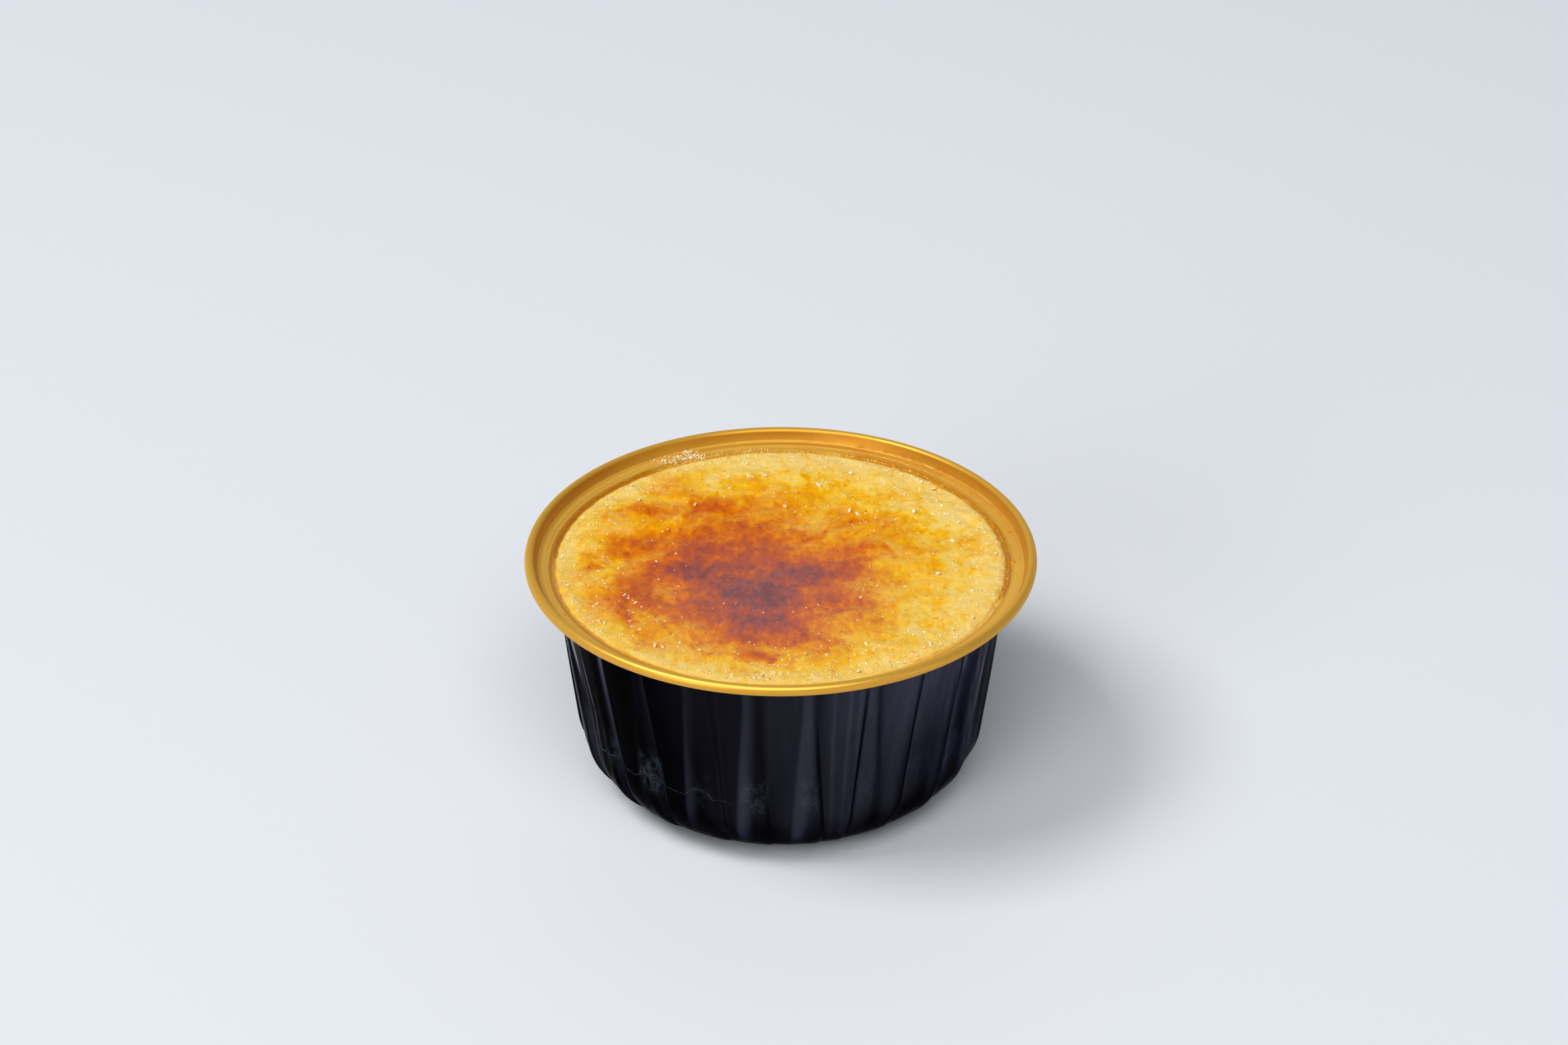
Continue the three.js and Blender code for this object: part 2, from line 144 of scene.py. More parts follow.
# Bands of painted sheen, where the folds reflect the surroundings, and painted shade in the grooves where the
# strengths
# are below 0: the azimuths of the left edge at SHEEN_HEIGHTS and of the right edge, how soft each edge is, and the
# strengths.
SHEEN = [
    ((-70.8, -66.1, -63.8), (-69.2, -64.9, -62.2), 0.5, 0.3, (0.8, 0.7, 0.8)),
    ((-67, -63.5, -62.8), (-66, -62.5, -61.8), 0.3, 0.3, (0.5, 0.6, 0.5)),
    ((-64.2, -59.9, -60.8), (-63, -58.7, -59.6), 0.7, 0.2, (0.6, 0.6, 0.4)),
    ((-62.5, -59, -59), (-58, -58.5, -58.8), 0.5, 0.8, (0.2, 0, 0)),
    ((-52.8, -51.3, -49.1), (-51.6, -50.2, -47.7), 0.6, 0.2, (0.5, 0.22, 0.55)),
    ((-49, -48.5, -47.5), (-48.5, -48, -47), 0.3, 0.3, (0.07, 0.04, 0.02)),
    ((-40.4, -41.4, -42.4), (-38.8, -39.6, -39.8), 0.8, 1, (0.025, 0.045, 0.1)),
    ((-37.3, -35.4, -33.5), (-36.7, -34.7, -32.7), 0.4, 0.15, (0.045, 0.06, 0.15)),
    ((-24.8, -26, -27), (-23, -24, -24.5), 0.5, 2, (0.08, 0.12, 0.15)),
    ((-19.2, -17.5, -16.5), (-18.6, -16.9, -16), 0.3, 0.3, (0.03, 0.045, 0.03)),
    ((-16.4, -15.9, -15.2), (-15.8, -15.3, -14.7), 0.3, 0.3, (0.02, 0.03, 0.04)),
    ((-9.3, -11, -12.3), (-7.2, -8, -9), 0.7, 1.8, (0.14, 0.19, 0.2)),
    ((5.6, 4.2, 3), (8, 8.8, 6.5), 0.6, 1, (0.18, 0.15, 0.15)),
    ((12.9, 13, 13.5), (13.8, 13.9, 14.5), 0.4, 0.4, (0.08, 0.09, 0.03)),
    ((17, 16.6, 16.4), (18, 17.4, 17.2), 0.4, 0.4, (0.12, 0.09, 0.04)),
    ((19.6, 19.2, 18), (20.8, 20, 19), 0.4, 0.4, (0.12, 0.09, 0.05)),
    ((21.3, 20.8, 19.8), (21.9, 21.2, 20.2), 0.2, 0.2, (-0.1, -0.12, -0.06)),
    ((22.4, 21.8, 20.5), (24, 25.4, 25), 0.4, 0.8, (0.1, 0.05, 0.02)),
    ((24.7, 26, 25.5), (25.8, 27.3, 28.5), 0.5, 0.7, (-0.12, -0.09, -0.03)),
    ((37.5, 35.7, 33.6), (38.1, 36.2, 34), 0.2, 0.15, (-0.2, -0.12, -0.06)),
    ((38.3, 36.3, 34), (39, 37, 35.2), 0.2, 1, (0.06, 0.04, 0.13)),
    ((42, 43, 45), (42.6, 43.8, 46), 0.4, 0.8, (0.05, 0.04, 0.05)),
    ((50.6, 50.2, 48.4), (51.5, 51.1, 51), 0.5, 0.3, (0.05, 0.18, 0.3)),
    ((52.3, 51.3, 51.2), (52.8, 51.7, 51.6), 0.15, 0.15, (-0.2, -0.2, 0)),
    ((52.9, 51.8, 51.5), (54, 53.2, 52), 0.15, 1.5, (0.1, 0.2, 0.1)),
    ((67, 65.6, 63), (68.4, 67, 64.6), 0.5, 0.4, (0.2, 0.16, 0.16)),
]

# Rings of painted shade in the gold on and inside the rim, where it mirrors the crust and itself: distance from the
# axis, half width, strength, azimuths from and to.
RIM_SHADES = [
    (40.75, 0.4, 1, -180, 180), (40.02, 0.2, 0.4, -150, 150), (38.2, 0.45, 0.75, -125, -35),
    (38.3, 0.4, 0.2, -35, 150), (38.35, 0.4, 0.2, -155, -125), (39.62, 0.45, 0.75, 158, 208),
    (42.5, 0.13, 0.5, -180, 180),
]
RIM_SHADE_FROM = 37  # height
RIM_SHADE_FADE = 6
RIM_BRIGHT, RIM_BRIGHT_FADE = [(62, 92, 0.35)], 8  # azimuths where the rings are fainter, and by how much
RIM_MATT = (38.5, 38.7, 40.35, 40.45)  # distances at which the ledge's matt band starts, is full, fades and ends
# Rolled lines in the ledge: distance from the axis, half width, rise.
LEDGE_LINES = [(38.95, 0.14, -0.04), (39.25, 0.12, 0.045), (40.0, 0.12, -0.04), (40.22, 0.1, 0.05)]

# Dried caramel on the ledge: azimuths from and to, and thickness from 0 to 1.
FILM = [(100, 115, 0.5), (115, 135, 0.6), (135, 161, 0.9), (89.5, 100, 0.4), (161, 176, 0.3), (-135, -97, 0.25)]
FILM_RADIUS = 40.5
FILM_EDGE, FILM_RIM = 0.25, 0.12  # how far in from its edge it is thickest, and over what distance
FILM_FADE = 1.5
FILM_THICKNESS, FILM_RIM_THICKNESS = 0.7, 0.5
FILM_WANDER = [(0.5, 5), (0.2, 1.7)]  # how far its edge wanders, and over how many degrees
CRIMPS = 460  # fine ribs round the rim, pressed in as it was rolled

# The custard ----------
CUSTARD_LEVEL = 39.2
CUSTARD_RADIUS = 37.5
CUSTARD_EDGE_HEIGHT = 38.77
CUSTARD_EDGE_ROLL = 1.3
CUSTARD_EDGE_WANDER = 0.22
CUSTARD_SIDE = [(15, 1.5), (20, 1.8), (29, 8), (33, 20), (35.5, 34), (36.6, 38)]  # distances and heights, unseen
NOISE_RING = 38  # distance from the axis at which the rings' noise is read
CRUST_FLOW = math.radians(31)
CRUST_WRINKLES = [(16, 9, 0.3), (7, 3.6, 0.24)]  # length along the flow, width across it, height
TOP_COLUMNS = 720
TOP_RINGS = 128
RING_CROWDING = 1.1  # towards the edge, as a power
RIPPLES = [(3.0, 2.3, 0.16), (1.5, 1.15, 0.09)]  # finer wrinkles, as above
FROTH_REACH, FROTH_HEIGHT = (31, 36.5), 0.09  # distances from the axis between which it grows, and its height
SCORCH_WANDER = [(1.5, 5, 3), (0.9, 1.6, 2)]  # how far, spacing and octaves

# Where the sugar is cloudy rather than clear, and where its mauve is partly painted sheen of the sky on the glassy
# caramel: x, y, length, width.
CLOUDY_AND_SHEENED_MIDDLE = (-1, -13, 22, 19)
# Scorches of the crust: x, y, length, width, heading of the length in degrees from +X towards +Y, and burn.
# Burn adds up from 0, bare custard, to 1, almost black. Less than 0 is a pale island or ridge.
SCORCHES = [
    # the whole scorched middle, and its darkest part
    (-2, -2, 27, 25, 0, 0.28), (-6, -5, 18, 16, 0, 0.33), (-6, -7, 12, 11, 0, 0.13), (-8, -6, 6.5, 4.5, -20, 0.1),
    (-3, -11.5, 6, 3.2, -10, 0.32), (-14.5, -2.5, 4, 2.6, 20, 0.24), (-4.5, -18, 6, 4, -20, 0.16),
    (0, -2.5, 4, 2.5, 31, -0.06), (-20, -2, 4, 3, 0, 0.16), (-5, -2.5, 1.7, 0.9, 20, -0.2),
    (-10.5, -3, 1.7, 1, 20, -0.2), (-14, 5, 5, 4, 20, 0.12), (4, 8, 6, 5, 20, -0.1), (2, 14, 6, 3, 10, -0.1),
    (-1, -20, 6, 3, 10, 0.1), (7, -12, 5, 3, 0, -0.02), (-20, 14, 15, 9, 30, 0.08), (-26, -20, 14, 9, -40, 0.05),
    (3, -26, 16, 8, 0, 0.06), (-4, 14, 20, 11, 12, 0.11), (14, 6, 12, 8, 20, 0.02), (5, 1, 5, 4, 20, -0.06),
    # behind it
    (-18.5, 0.5, 5, 4, 40, 0.094), (-16, 9.5, 6, 2.4, 20, 0.094), (-12.5, 19.5, 3.6, 3.2, -40, 0.202),
    (-10.5, 17.5, 4, 1.6, -30, 0.094), (-15.5, 17, 3, 2.5, 0, 0.108), (-6.5, 11, 5, 2, -20, 0.094),
    (-10, 7, 2.6, 1.1, 10, -0.15), (0, 13.5, 4, 2.2, 10, 0.122), (-2, 21.5, 7, 5, 10, 0.079),
    (2, 19.5, 4, 1.2, 20, 0.072), (7, 25.5, 4.5, 3, 20, 0.079), (-6, 27.5, 3.5, 3, 0, 0.065),
    (-11, 32, 4, 3, 0, 0.05), (6, 8.5, 3.2, 0.9, 31, 0.187), (2, 8.5, 4, 0.9, 25, 0.122),
    # left of it
    (-26, 5, 5, 3.2, 25, 0.27), (-27.5, 2, 3, 1.4, 20, 0.13), (-24, 5.5, 4, 2.5, 40, 0.02),
    (-31, -1, 1.7, 2.2, 0, 0.33), (-23, 17.5, 3.6, 2.8, 0, 0.15), (-22.5, 17.5, 1.6, 1.1, 0, 0.12),
    (-19.5, 26.5, 4.2, 5, -30, 0.19), (-17.5, 24.5, 3, 3, 0, 0.08), (-27, 15.5, 5, 3.2, 30, 0.13),
    (-20, 18, 3, 2, 0, 0.09), (-34, -6, 3.4, 6, 0, 0.11), (-33, -4, 1.5, 2, 0, 0.08), (-19, 13, 3.6, 1.1, 40, -0.2),
    (-25, -6, 4, 3, 0, 0.13), (-24, -9.5, 4.5, 4, 0, 0.18), (-21.5, -13, 4, 2.4, -20, 0.17),
    (-19, -9.5, 4, 2.6, 0, -0.08), (-27.5, -14.5, 5.5, 6.5, -30, 0.16), (-25.5, -17.5, 1.5, 3.2, 20, 0.32),
    (-29, -13, 2.5, 2.5, 0, 0.08), (-22, -25, 5, 3, -20, 0.12), (-23.5, -26.5, 2.4, 1.2, 0, 0.14),
    # in front of it
    (-14, -18, 7, 5, 0, 0.12), (-9, -27, 9, 4, 0, 0.14), (-2, -22, 9, 4.5, 0, 0.24),
    (-14.5, -25.5, 5, 2.4, 20, 0.08), (4, -22, 1.2, 1.2, 0, 0.23), (2, -25, 2.6, 0.6, 31, 0.17),
    (5, -25, 6, 3, 20, 0.13), (7.5, -27, 5, 2.4, 20, 0.13), (8.5, -30, 5, 2, 31, 0.09),
    (-3.5, -30, 3.2, 1.8, 0, 0.26), (-2.5, -30, 1.2, 1.2, 0, 0.17), (-6, -34.5, 2.4, 1.6, 0, 0.13),
    (2, -30.5, 2.5, 0.7, 31, 0.2), (3, -32, 3, 1.2, 31, 0.1),
    # right of it
    (10, -16, 1.9, 0.8, 20, 0.23), (10.5, -13, 7, 3.6, -10, 0.2), (12.5, -20, 6, 3.4, 0, 0.13),
    (4, -8, 2.7, 1.1, 15, 0.23), (7.5, -3, 7, 3.4, 0, 0.13), (4, -4, 4, 3, 0, 0.12), (13, 4, 3, 1.5, 31, 0.15),
    (12, -1.5, 5, 1.5, 31, 0.08), (17, 2, 5, 2, 31, 0.1), (11.5, 13, 3, 1.8, 31, 0.15), (18.5, 12, 6, 4, 20, 0.11),
    (22, 22.5, 4, 3, 0, 0.08), (24, 3, 5, 2, 20, 0.09), (26.5, -6.5, 1.7, 1, 0, 0.13), (32.5, 5, 4, 4, -30, 0.11),
    (16, -18.5, 1.6, 1.3, 0, 0.15),
]

# Sugar on the crust ----------
# The largest grains, as in the CAD source.
GRAINS = 40
GRAIN_SIZE = (0.55, 0.95)
GRAIN_SIDES = (1, 0.8, 0.65)  # as shares of its size
GRAIN_TILT = 0.6  # radians either way
GRAIN_REACH = (36, 17)  # from the middle, the outermost first
GRAIN_CROWDING = 2.2  # towards the outermost, as a power
GRAIN_RISE = 0.22  # of its middle above the crust, as a share of its size
WORN = (0.95, 0.8, 0.7)  # how much of its sides the melting has left
GRAIN_SHAPE = (0.3, 0.2)  # how boxy, and how uneven
GRAIN_WHITE = (0.35, 0.8)
GOLDEN_ANGLE = 137.508

# The others: sides as shares of the size, lean either way in radians, shape and rise as above.
STREWN_LENGTH, STREWN_WIDTH, STREWN_HEIGHT = 1.15, (0.45, 0.9), (0.22, 0.4)
STREWN_LEAN = 0.6
STREWN_SHAPE = (0.2, 0.26)
STREWN_RISE = 0.1

# Others that stand out, worn down and with small ones round each: x, y, size.
CRYSTALS = [
    (-7.2, 35, 0.5), (-5.7, 29, 0.7), (-5.1, 28.4, 0.5), (-8.7, 24.5, 0.9), (-3.1, 29.4, 0.5), (-0.4, 34.3, 0.5),
    (1.4, 31.3, 0.6), (3.9, 32.2, 0.6), (6.3, 25.9, 1), (2, 23.1, 0.5), (13, 15.9, 0.9), (16.1, 15, 0.6),
    (14.8, 27.8, 0.5), (17.3, 26.6, 0.6), (18.8, 23.1, 0.6), (21.1, 22.5, 0.6), (22.8, 18.6, 0.5),
    (27.4, 18.1, 0.7), (25.8, 15.6, 0.9), (29.3, 15.2, 0.6), (28.9, 7, 0.9), (25.4, 2.2, 0.5), (-29.4, 0.7, 0.6),
    (-29, -7.4, 0.5), (-23.6, -12.9, 0.7), (-24, -16.1, 0.5), (-24.5, -18.6, 0.6), (-18.8, -26.7, 0.7),
    (-8.6, -35.5, 0.7), (-4.1, -36.2, 0.6), (-1.4, -35.5, 0.6), (-2.8, -32.4, 0.5), (7.8, -32.2, 0.5),
    (13.6, -31.4, 0.6), (23.2, -22.1, 0.7), (23.9, -25.7, 0.6), (20, -30, 0.6), (17, -30.8, 0.5),
    (14.4, -33.7, 0.5),
]
CRYSTAL_WORN = 0.75
NEAR_GRAINS, NEAR_REACH, NEAR_SIZE = 4, 0.7, 0.3
# Rows of them on the edges of the crust's flakes: from x, y to x, y, how many pairs, size.
CRYSTAL_ROWS = [
    (-30, 1.5, -28.8, 0.2, 4, 0.5), (-30, -5.5, -28.7, -8.8, 7, 0.55), (-28.6, -8.5, -28.2, -8.2, 2, 0.4),
    (-26.2, -10.3, -21.6, -15.2, 12, 0.65), (-24.6, -15.6, -24.2, -16.4, 3, 0.6), (-32, 6, -30.6, 4, 5, 0.4),
    (-27.5, 11, -27, 10.4, 2, 0.5), (-5.5, 28.8, -4.8, 27.6, 5, 0.5), (17, 27, 25, 19.5, 10, 0.5),
    (26.5, 17, 30.2, 14, 8, 0.5), (-2, -31.6, 1, -32.6, 6, 0.4), (12, -29, 17, -26, 6, 0.45),
]
ROW_WIDTH, ROW_SIZES = 0.45, (0.25, 0.85)  # either way, and as shares of the row's size
SMALL_GRAINS = 4300  # tried, and kept where the crust carries sugar
SMALL_GRAIN_SIZE = (0.12, 0.52)
SMALL_GRAIN_REACH = (36.6, 14.64)  # from the middle, the outermost first
SMALL_GRAIN_PATCHES = 4.5  # spacing of where they are dense
SCORCH_CLEARS, CLEARED_AT = 0.85, (0.25, 0.5)  # what share of them a scorch takes away, and at which burn
# Grains left on the ledge at the back: azimuths and distances from the axis, how many, and how white.
HEAPS = [
    ((-145, -158.5), (38.2, 40.2), 130, 1.0), ((-150, -160), (37.7, 38.9), 70, 0.7),
    ((-157, -178), (37.6, 38.4), 90, 0.1),
]
HEAP_GRAIN_SIZE = (0.18, 0.55)

# Black specks in the crust: x, y, size.
SPECKS = [
    (14.5, 17, 0.3), (23.9, 6.1, 0.24), (32.2, -14.7, 0.2), (-1.7, -36.2, 0.24), (-7.7, -18.6, 0.22),
    (-2, -12.4, 0.26), (1.5, -6, 0.2), (-16, 3, 0.2), (9.5, 3.5, 0.2), (-11, -10.5, 0.2), (4, 12, 0.18),
]

# Caramel ----------
# It has run out between the custard and the foil: azimuths from and to, and how much, from 0 to 1.
CARAMEL = [(-144, -93, 1), (-93, -20, 0.45), (-20, 72, 0.15), (72, 108, 0.9), (108, 162, 0.8), (162, 216, 0.5)]
CARAMEL_LEAST, CARAMEL_FADE = 0.12, 3  # what there is everywhere, and the soft ends of the rest in degrees
CARAMEL_ROUGH, ROUGH_FADE = [(60, 175, 0.7)], 10  # where it is bubblier
CARAMEL_INNER, CARAMEL_OUTER = 37.35, 37.8  # distances of its edges before more of it spreads them
CARAMEL_COLUMNS, CARAMEL_STEPS = 1600, 13
CARAMEL_SUNK, CARAMEL_DEPTH = 0.08, 0.25  # its lower side lies this far under what carries it
# Drops of it on the ledge and the bead: azimuth, distance from the axis, width and colour from 0 pale to 1 dark.
DROPS = [
    (103, 39.5, 0.7, 0.5), (105.7, 38.1, 0.9, 0.55), (89, 38.6, 1, 0.45), (156.8, 41.3, 0.4, 0.2),
    (75.8, 40.5, 0.3, 0.9), (-87.2, 38.5, 0.22, 0.95), (-85.9, 38.6, 0.2, 0.95), (-82.1, 40.1, 0.16, 0.9),
    (-80.2, 40.8, 0.14, 0.9), (-75.6, 40.8, 0.16, 0.9), (-66, 40.1, 0.16, 0.9), (-64.1, 38.9, 0.2, 0.9),
    (-58.4, 39.7, 0.14, 0.9), (-53.7, 39.9, 0.2, 0.9), (-96, 39.2, 0.25, 0.8), (-104, 39.4, 0.22, 0.8),
    (-23, 38.3, 0.5, 0.3), (112, 40.2, 0.3, 0.6), (124, 39.4, 0.35, 0.6), (131, 40.3, 0.22, 0.7),
]
DROP_FLATNESS = 0.6
DROP_SUNK = 0.1
BEAD_FROM = 40.8  # distance from which a drop lies on the bead

# Numbers ----------

def draw(n):
    """A repeatable number from 0 to 1 for each whole number, as in the CAD source."""
    x = np.sin(np.asarray(n, float) * 12.9898 + 4.1414) * 43758.5453
    return x - np.floor(x)


def mix(a, b, t):
    return a + (b - a) * t


def smoothstep(x, low, high):
    t = np.clip((x - low) / (high - low), 0, 1)
    return t * t * (3 - 2 * t)


def plateau(x, start, full, fade, end):
    """0 up to the start, 1 from full to fade, and 0 from the end on."""
    return smoothstep(x, start, full) * (1 - smoothstep(x, fade, end))


def bell(x, middle, width, power=2):
    """1 in the middle, and falling away on both sides."""
    return np.exp(-(((x - middle) / width) ** power))


def turned_flat(x, y, heading):
    """Distances along a heading, in radians from +X towards +Y, and across it."""
    c, s = math.cos(heading), math.sin(heading)
    return x * c + y * s, y * c - x * s


def around(azimuth, distance=1):
    """x and y at an azimuth, in radians from -Y towards +X."""
    return distance * np.sin(azimuth), -distance * np.cos(azimuth)


def value_noise(x, y, seed):
    """Smooth noise from -1 to 1 with a spacing of 1, from numbers drawn at the corners of a square lattice."""
    column, row = np.floor(x), np.floor(y)
    u, v = smoothstep(x - column, 0, 1), smoothstep(y - row, 0, 1)

    def corner(i, j):
        return draw((column + i) * 37.0 + (row + j) * 101.0 + seed * 17.0)

    low = mix(corner(0, 0), corner(1, 0), u)
    high = mix(corner(0, 1), corner(1, 1), u)
    return 2 * mix(low, high, v) - 1


def fractal_noise(x, y, spacing, octaves, seed):
    """Octaves of value noise, each about twice as fine and half as strong as the one before."""
    total, weight = 0, 0
    for i in range(octaves):
        share = 0.5**i
        scale = 2.03**i / spacing
        total = total + share * value_noise(x * scale + 7.3 * i, y * scale - 3.1 * i, seed + i)
        weight += share
    return total / weight


# Meshes ----------

def mesh_object(name, points, faces, materials, smooth=True):
    """points in millimetres, as rows of an array."""
    mesh = bpy.data.meshes.new(name)
    mesh.from_pydata((np.asarray(points) * MM).tolist(), [], faces)
    mesh.validate()
    mesh.polygons.foreach_set("use_smooth", [smooth] * len(mesh.polygons))
    for material in materials:
        mesh.materials.append(material)
    piece = bpy.data.objects.new(name, mesh)
    bpy.context.scene.collection.objects.link(piece)
    return piece


def keep_values(piece, **values):
    """Numbers for each point, which a material reads by their names."""
    for name, numbers in values.items():
        layer = piece.data.attributes.new(name, "FLOAT", "POINT")
        layer.data.foreach_set("value", np.asarray(numbers, np.float32).ravel())


def grid_faces(rings, columns, first=0, closed=False):
    """Faces between rings of points, numbered from first. closed joins the last ring to the first."""
    ring, column = np.meshgrid(np.arange(rings - (not closed)), np.arange(columns), indexing="ij")
    above, after = (ring + 1) % rings, (column + 1) % columns
    corners = [(ring, column), (ring, after), (above, after), (above, column)]
    return np.stack([first + r * columns + c for r, c in corners], -1).reshape(-1, 4).tolist()


def swept_faces(rings, columns):
    """Faces of a closed form: a point at the bottom, rings of columns, and a point at the top."""
    here = np.arange(columns)
    after = (here + 1) % columns
    top = 1 + (rings - 1) * columns
    lower = np.stack([0 * here, 1 + after, 1 + here], -1)
    upper = np.stack([top + here, top + after, 0 * here + top + columns], -1)
    return lower.tolist() + grid_faces(rings, columns, 1) + upper.tolist()


# Pleats ----------

def all_creases():
    first, last = CREASES[0], CREASES[-1]
    step = (first[0] + 360 - last[0]) / (BACK_CREASES + 1)
    back = []
    for i in range(1, BACK_CREASES + 1):
        middle = last[0] + step * i
        neck = middle + CREASE_JITTER * (2 * draw(3 * i) - 1)
        foot = middle + CREASE_JITTER * (2 * draw(3 * i + 1) - 1)
        back.append((neck, foot, mix(*CREASE_DEPTH, draw(3 * i + 2))))
    again = (first[0] + 360, first[1] + 360, first[2])
    return np.array([*CREASES, *back, again], float)


def column_shares():
    """Places of the columns between two creases, which are closer after the crest."""
    before = np.linspace(0, CREST_PLACE, COARSE_COLUMNS, endpoint=False)
    return np.concatenate([before, np.linspace(CREST_PLACE, 1, FINE_COLUMNS, endpoint=False)])


def pleating(z):
    """How strongly the wall is pleated at a height: not at all on the foot or the neck."""
    thinning = mix(1, PLEATS_THINNED, smoothstep(z, *PLEATS_THINNING))
    return plateau(z, *PLEATS_START, PLEATS_THINNING[1], NECK_HEIGHT) * thinning


def pleat_depth(creases, pleat, share):
    """How far the wall is sunk at a share of the way from one crease to the next, for full pleating."""
    soft = np.maximum(0, 1 - share / SOFT_SIDE) ** 2
    sharp = np.maximum(0, 1 - (1 - share) / SHARP_SIDE) ** 2
    raised = CREST * bell(share, CREST_PLACE, CREST_WIDTH) + LIP * bell(share, LIP_PLACE, LIP_WIDTH)
    return creases[pleat, 2] * soft + creases[pleat + 1, 2] * sharp - raised


def rib_height(azimuth, height):
    """The small ribs and dents between the pleats. azimuth in degrees."""
    total = 0 * (azimuth + height)
    for at_low, at_high, low, high, width, rise in RIBS:
        middle = mix(at_low, at_high, np.clip((height - low) / (high - low), 0, 1))
        fade = plateau(height, low - RIB_FADE, low + RIB_FADE, high - RIB_FADE, high + RIB_FADE)
        total = total + rise * fade * bell(azimuth, middle, width)
    return total


def placed(stations):
    """Rings of points for stations of (r, z, normal r, normal z, height for the pleats, inset)."""
    creases = all_creases()
    count = len(creases) - 1
    share = np.tile(column_shares(), count)
    pleat = np.repeat(np.arange(count), len(share) // count)
    r, z, normal_r, normal_z, height, inset = (column[:, None] for column in np.array(stations).T)

    up = np.minimum(height / NECK_HEIGHT, 1)
    azimuths = mix(creases[:, 1][None, :], creases[:, 0][None, :], up)
    degrees = mix(azimuths[:, pleat], azimuths[:, pleat + 1], share[None, :])
    sunk = pleating(height) * pleat_depth(creases, pleat, share)[None, :] + inset
    sunk = sunk - rib_height(degrees, height) * (height < NECK_HEIGHT)
    x, y = around(np.radians(degrees), r - normal_r * sunk)
    return np.stack([x, y, z - normal_z * sunk], -1)


def wall_place(degrees, height, above):
    """A place a little above the outside of the wall, pleats and ribs included."""
    creases = all_creases()
    lines = mix(creases[:, 1], creases[:, 0], min(height / NECK_HEIGHT, 1))
    pleat = int(np.searchsorted(lines, degrees, side="right")) - 1
    share = (degrees - lines[pleat]) / (lines[pleat + 1] - lines[pleat])
    sunk = pleating(height) * pleat_depth(creases, pleat, share) - rib_height(degrees, height) - above
    radius = wall_radius(height) - WALL_OUT[0] * sunk
    return *around(math.radians(degrees), radius), height - WALL_OUT[1] * sunk


# The cup's section ----------

TAPER_ANGLE = math.atan(WALL_TAPER)
WALL_OUT = (math.cos(TAPER_ANGLE), -math.sin(TAPER_ANGLE))  # the wall's normal
BEAD_MIDDLE = (RIM_RADIUS - BEAD_HALF_WIDTH, CUP_HEIGHT - BEAD_HALF_HEIGHT)


def wall_radius(height):
    return WALL_FOOT_RADIUS + WALL_TAPER * height


def arc(centre, radius_r, radius_z, start, end, steps):
    angles = np.radians(np.linspace(start, end, steps + 1))
    return [(centre[0] + radius_r * math.cos(a), centre[1] + radius_z * math.sin(a)) for a in angles]


def unit(x, y):
    length = math.hypot(x, y)
    return x / length, y / length


def crossing(p, d, q, e):
    """Where two lines cross, each given by a point and a direction."""
    t = ((q[0] - p[0]) * e[1] - (q[1] - p[1]) * e[0]) / (d[0] * e[1] - d[1] * e[0])
    return p[0] + d[0] * t, p[1] + d[1] * t


def fillet(before, corner, after, radius, steps):
    a = unit(before[0] - corner[0], before[1] - corner[1])
    b = unit(after[0] - corner[0], after[1] - corner[1])
    half = math.acos(a[0] * b[0] + a[1] * b[1]) / 2
    reach = radius / math.tan(half)
    inward = unit(a[0] + b[0], a[1] + b[1])
    centre = [corner[i] + inward[i] * radius / math.sin(half) for i in (0, 1)]
    angles = []
    for side in (a, b):
        end = [corner[i] + side[i] * reach for i in (0, 1)]
        angles.append(math.degrees(math.atan2(end[1] - centre[1], end[0] - centre[0])))
    turn = angles[1] - angles[0]
    turn -= round(turn / 360) * 360
    return arc(centre, radius, radius, angles[0], angles[0] + turn, steps)


def bowl_stations():
    """Stations of the outside from the middle of the foot, without the point on the axis, up the wall."""
    centre_r = wall_radius(CORNER_RADIUS) - CORNER_RADIUS / WALL_OUT[0]
    panel = PANEL_RADIUS - PANEL_EDGE
    stations = [(panel * share, PANEL_LIFT, 0, -1) for share in PANEL_SHARES]
    for share in EDGE_SHARES:
        stations.append((mix(panel, PANEL_RADIUS, share), PANEL_LIFT * (1 - share), 0, -1))
    centre = (centre_r, CORNER_RADIUS)
    for r, z in arc(centre, CORNER_RADIUS, CORNER_RADIUS, -90, -math.degrees(TAPER_ANGLE), CORNER_STEPS):
        stations.append((r, z, (r - centre_r) / CORNER_RADIUS, (z - CORNER_RADIUS) / CORNER_RADIUS))
    start = stations[-1][1]
    for i in range(1, WALL_STEPS + 1):
        z = mix(start, NECK_HEIGHT - NECK_GAP, i / WALL_STEPS)
        stations.append((wall_radius(z), z, *WALL_OUT))
    return [(*s, s[1], 0) for s in stations]


def skin(thickness):
    """One skin of the foil from the neck to the roll, moved out from the top skin, as (r, z)."""
    wall = unit(WALL_TAPER, 1)
    ledge = unit(1, LEDGE_SLOPE)
    join = (BEAD_MIDDLE[0] - BEAD_HALF_WIDTH * RISE_JOIN[0], BEAD_MIDDLE[1] + BEAD_HALF_HEIGHT * RISE_JOIN[1])
    rise = unit(join[0] - LEDGE_RADIUS, join[1] - LEDGE_HEIGHT)

    def away(point, direction):
        return point[0] + direction[1] * thickness, point[1] - direction[0] * thickness

    inside = (wall_radius(NECK_HEIGHT) - WALL_OUT[0] * FOIL, NECK_HEIGHT - WALL_OUT[1] * FOIL)
    neck = away(inside, wall)
    ledge_start = away((LEDGE_RADIUS, LEDGE_HEIGHT), ledge)
    rise_start = away(join, rise)
    inner_corner = crossing(neck, wall, ledge_start, ledge)
    outer_corner = crossing(ledge_start, ledge, rise_start, rise)
    inner = fillet(neck, inner_corner, outer_corner, LEDGE_INNER_FILLET - thickness, FILLET_STEPS)
    return inner + fillet(inner_corner, outer_corner, rise_start, LEDGE_OUTER_FILLET + thickness, FILLET_STEPS)


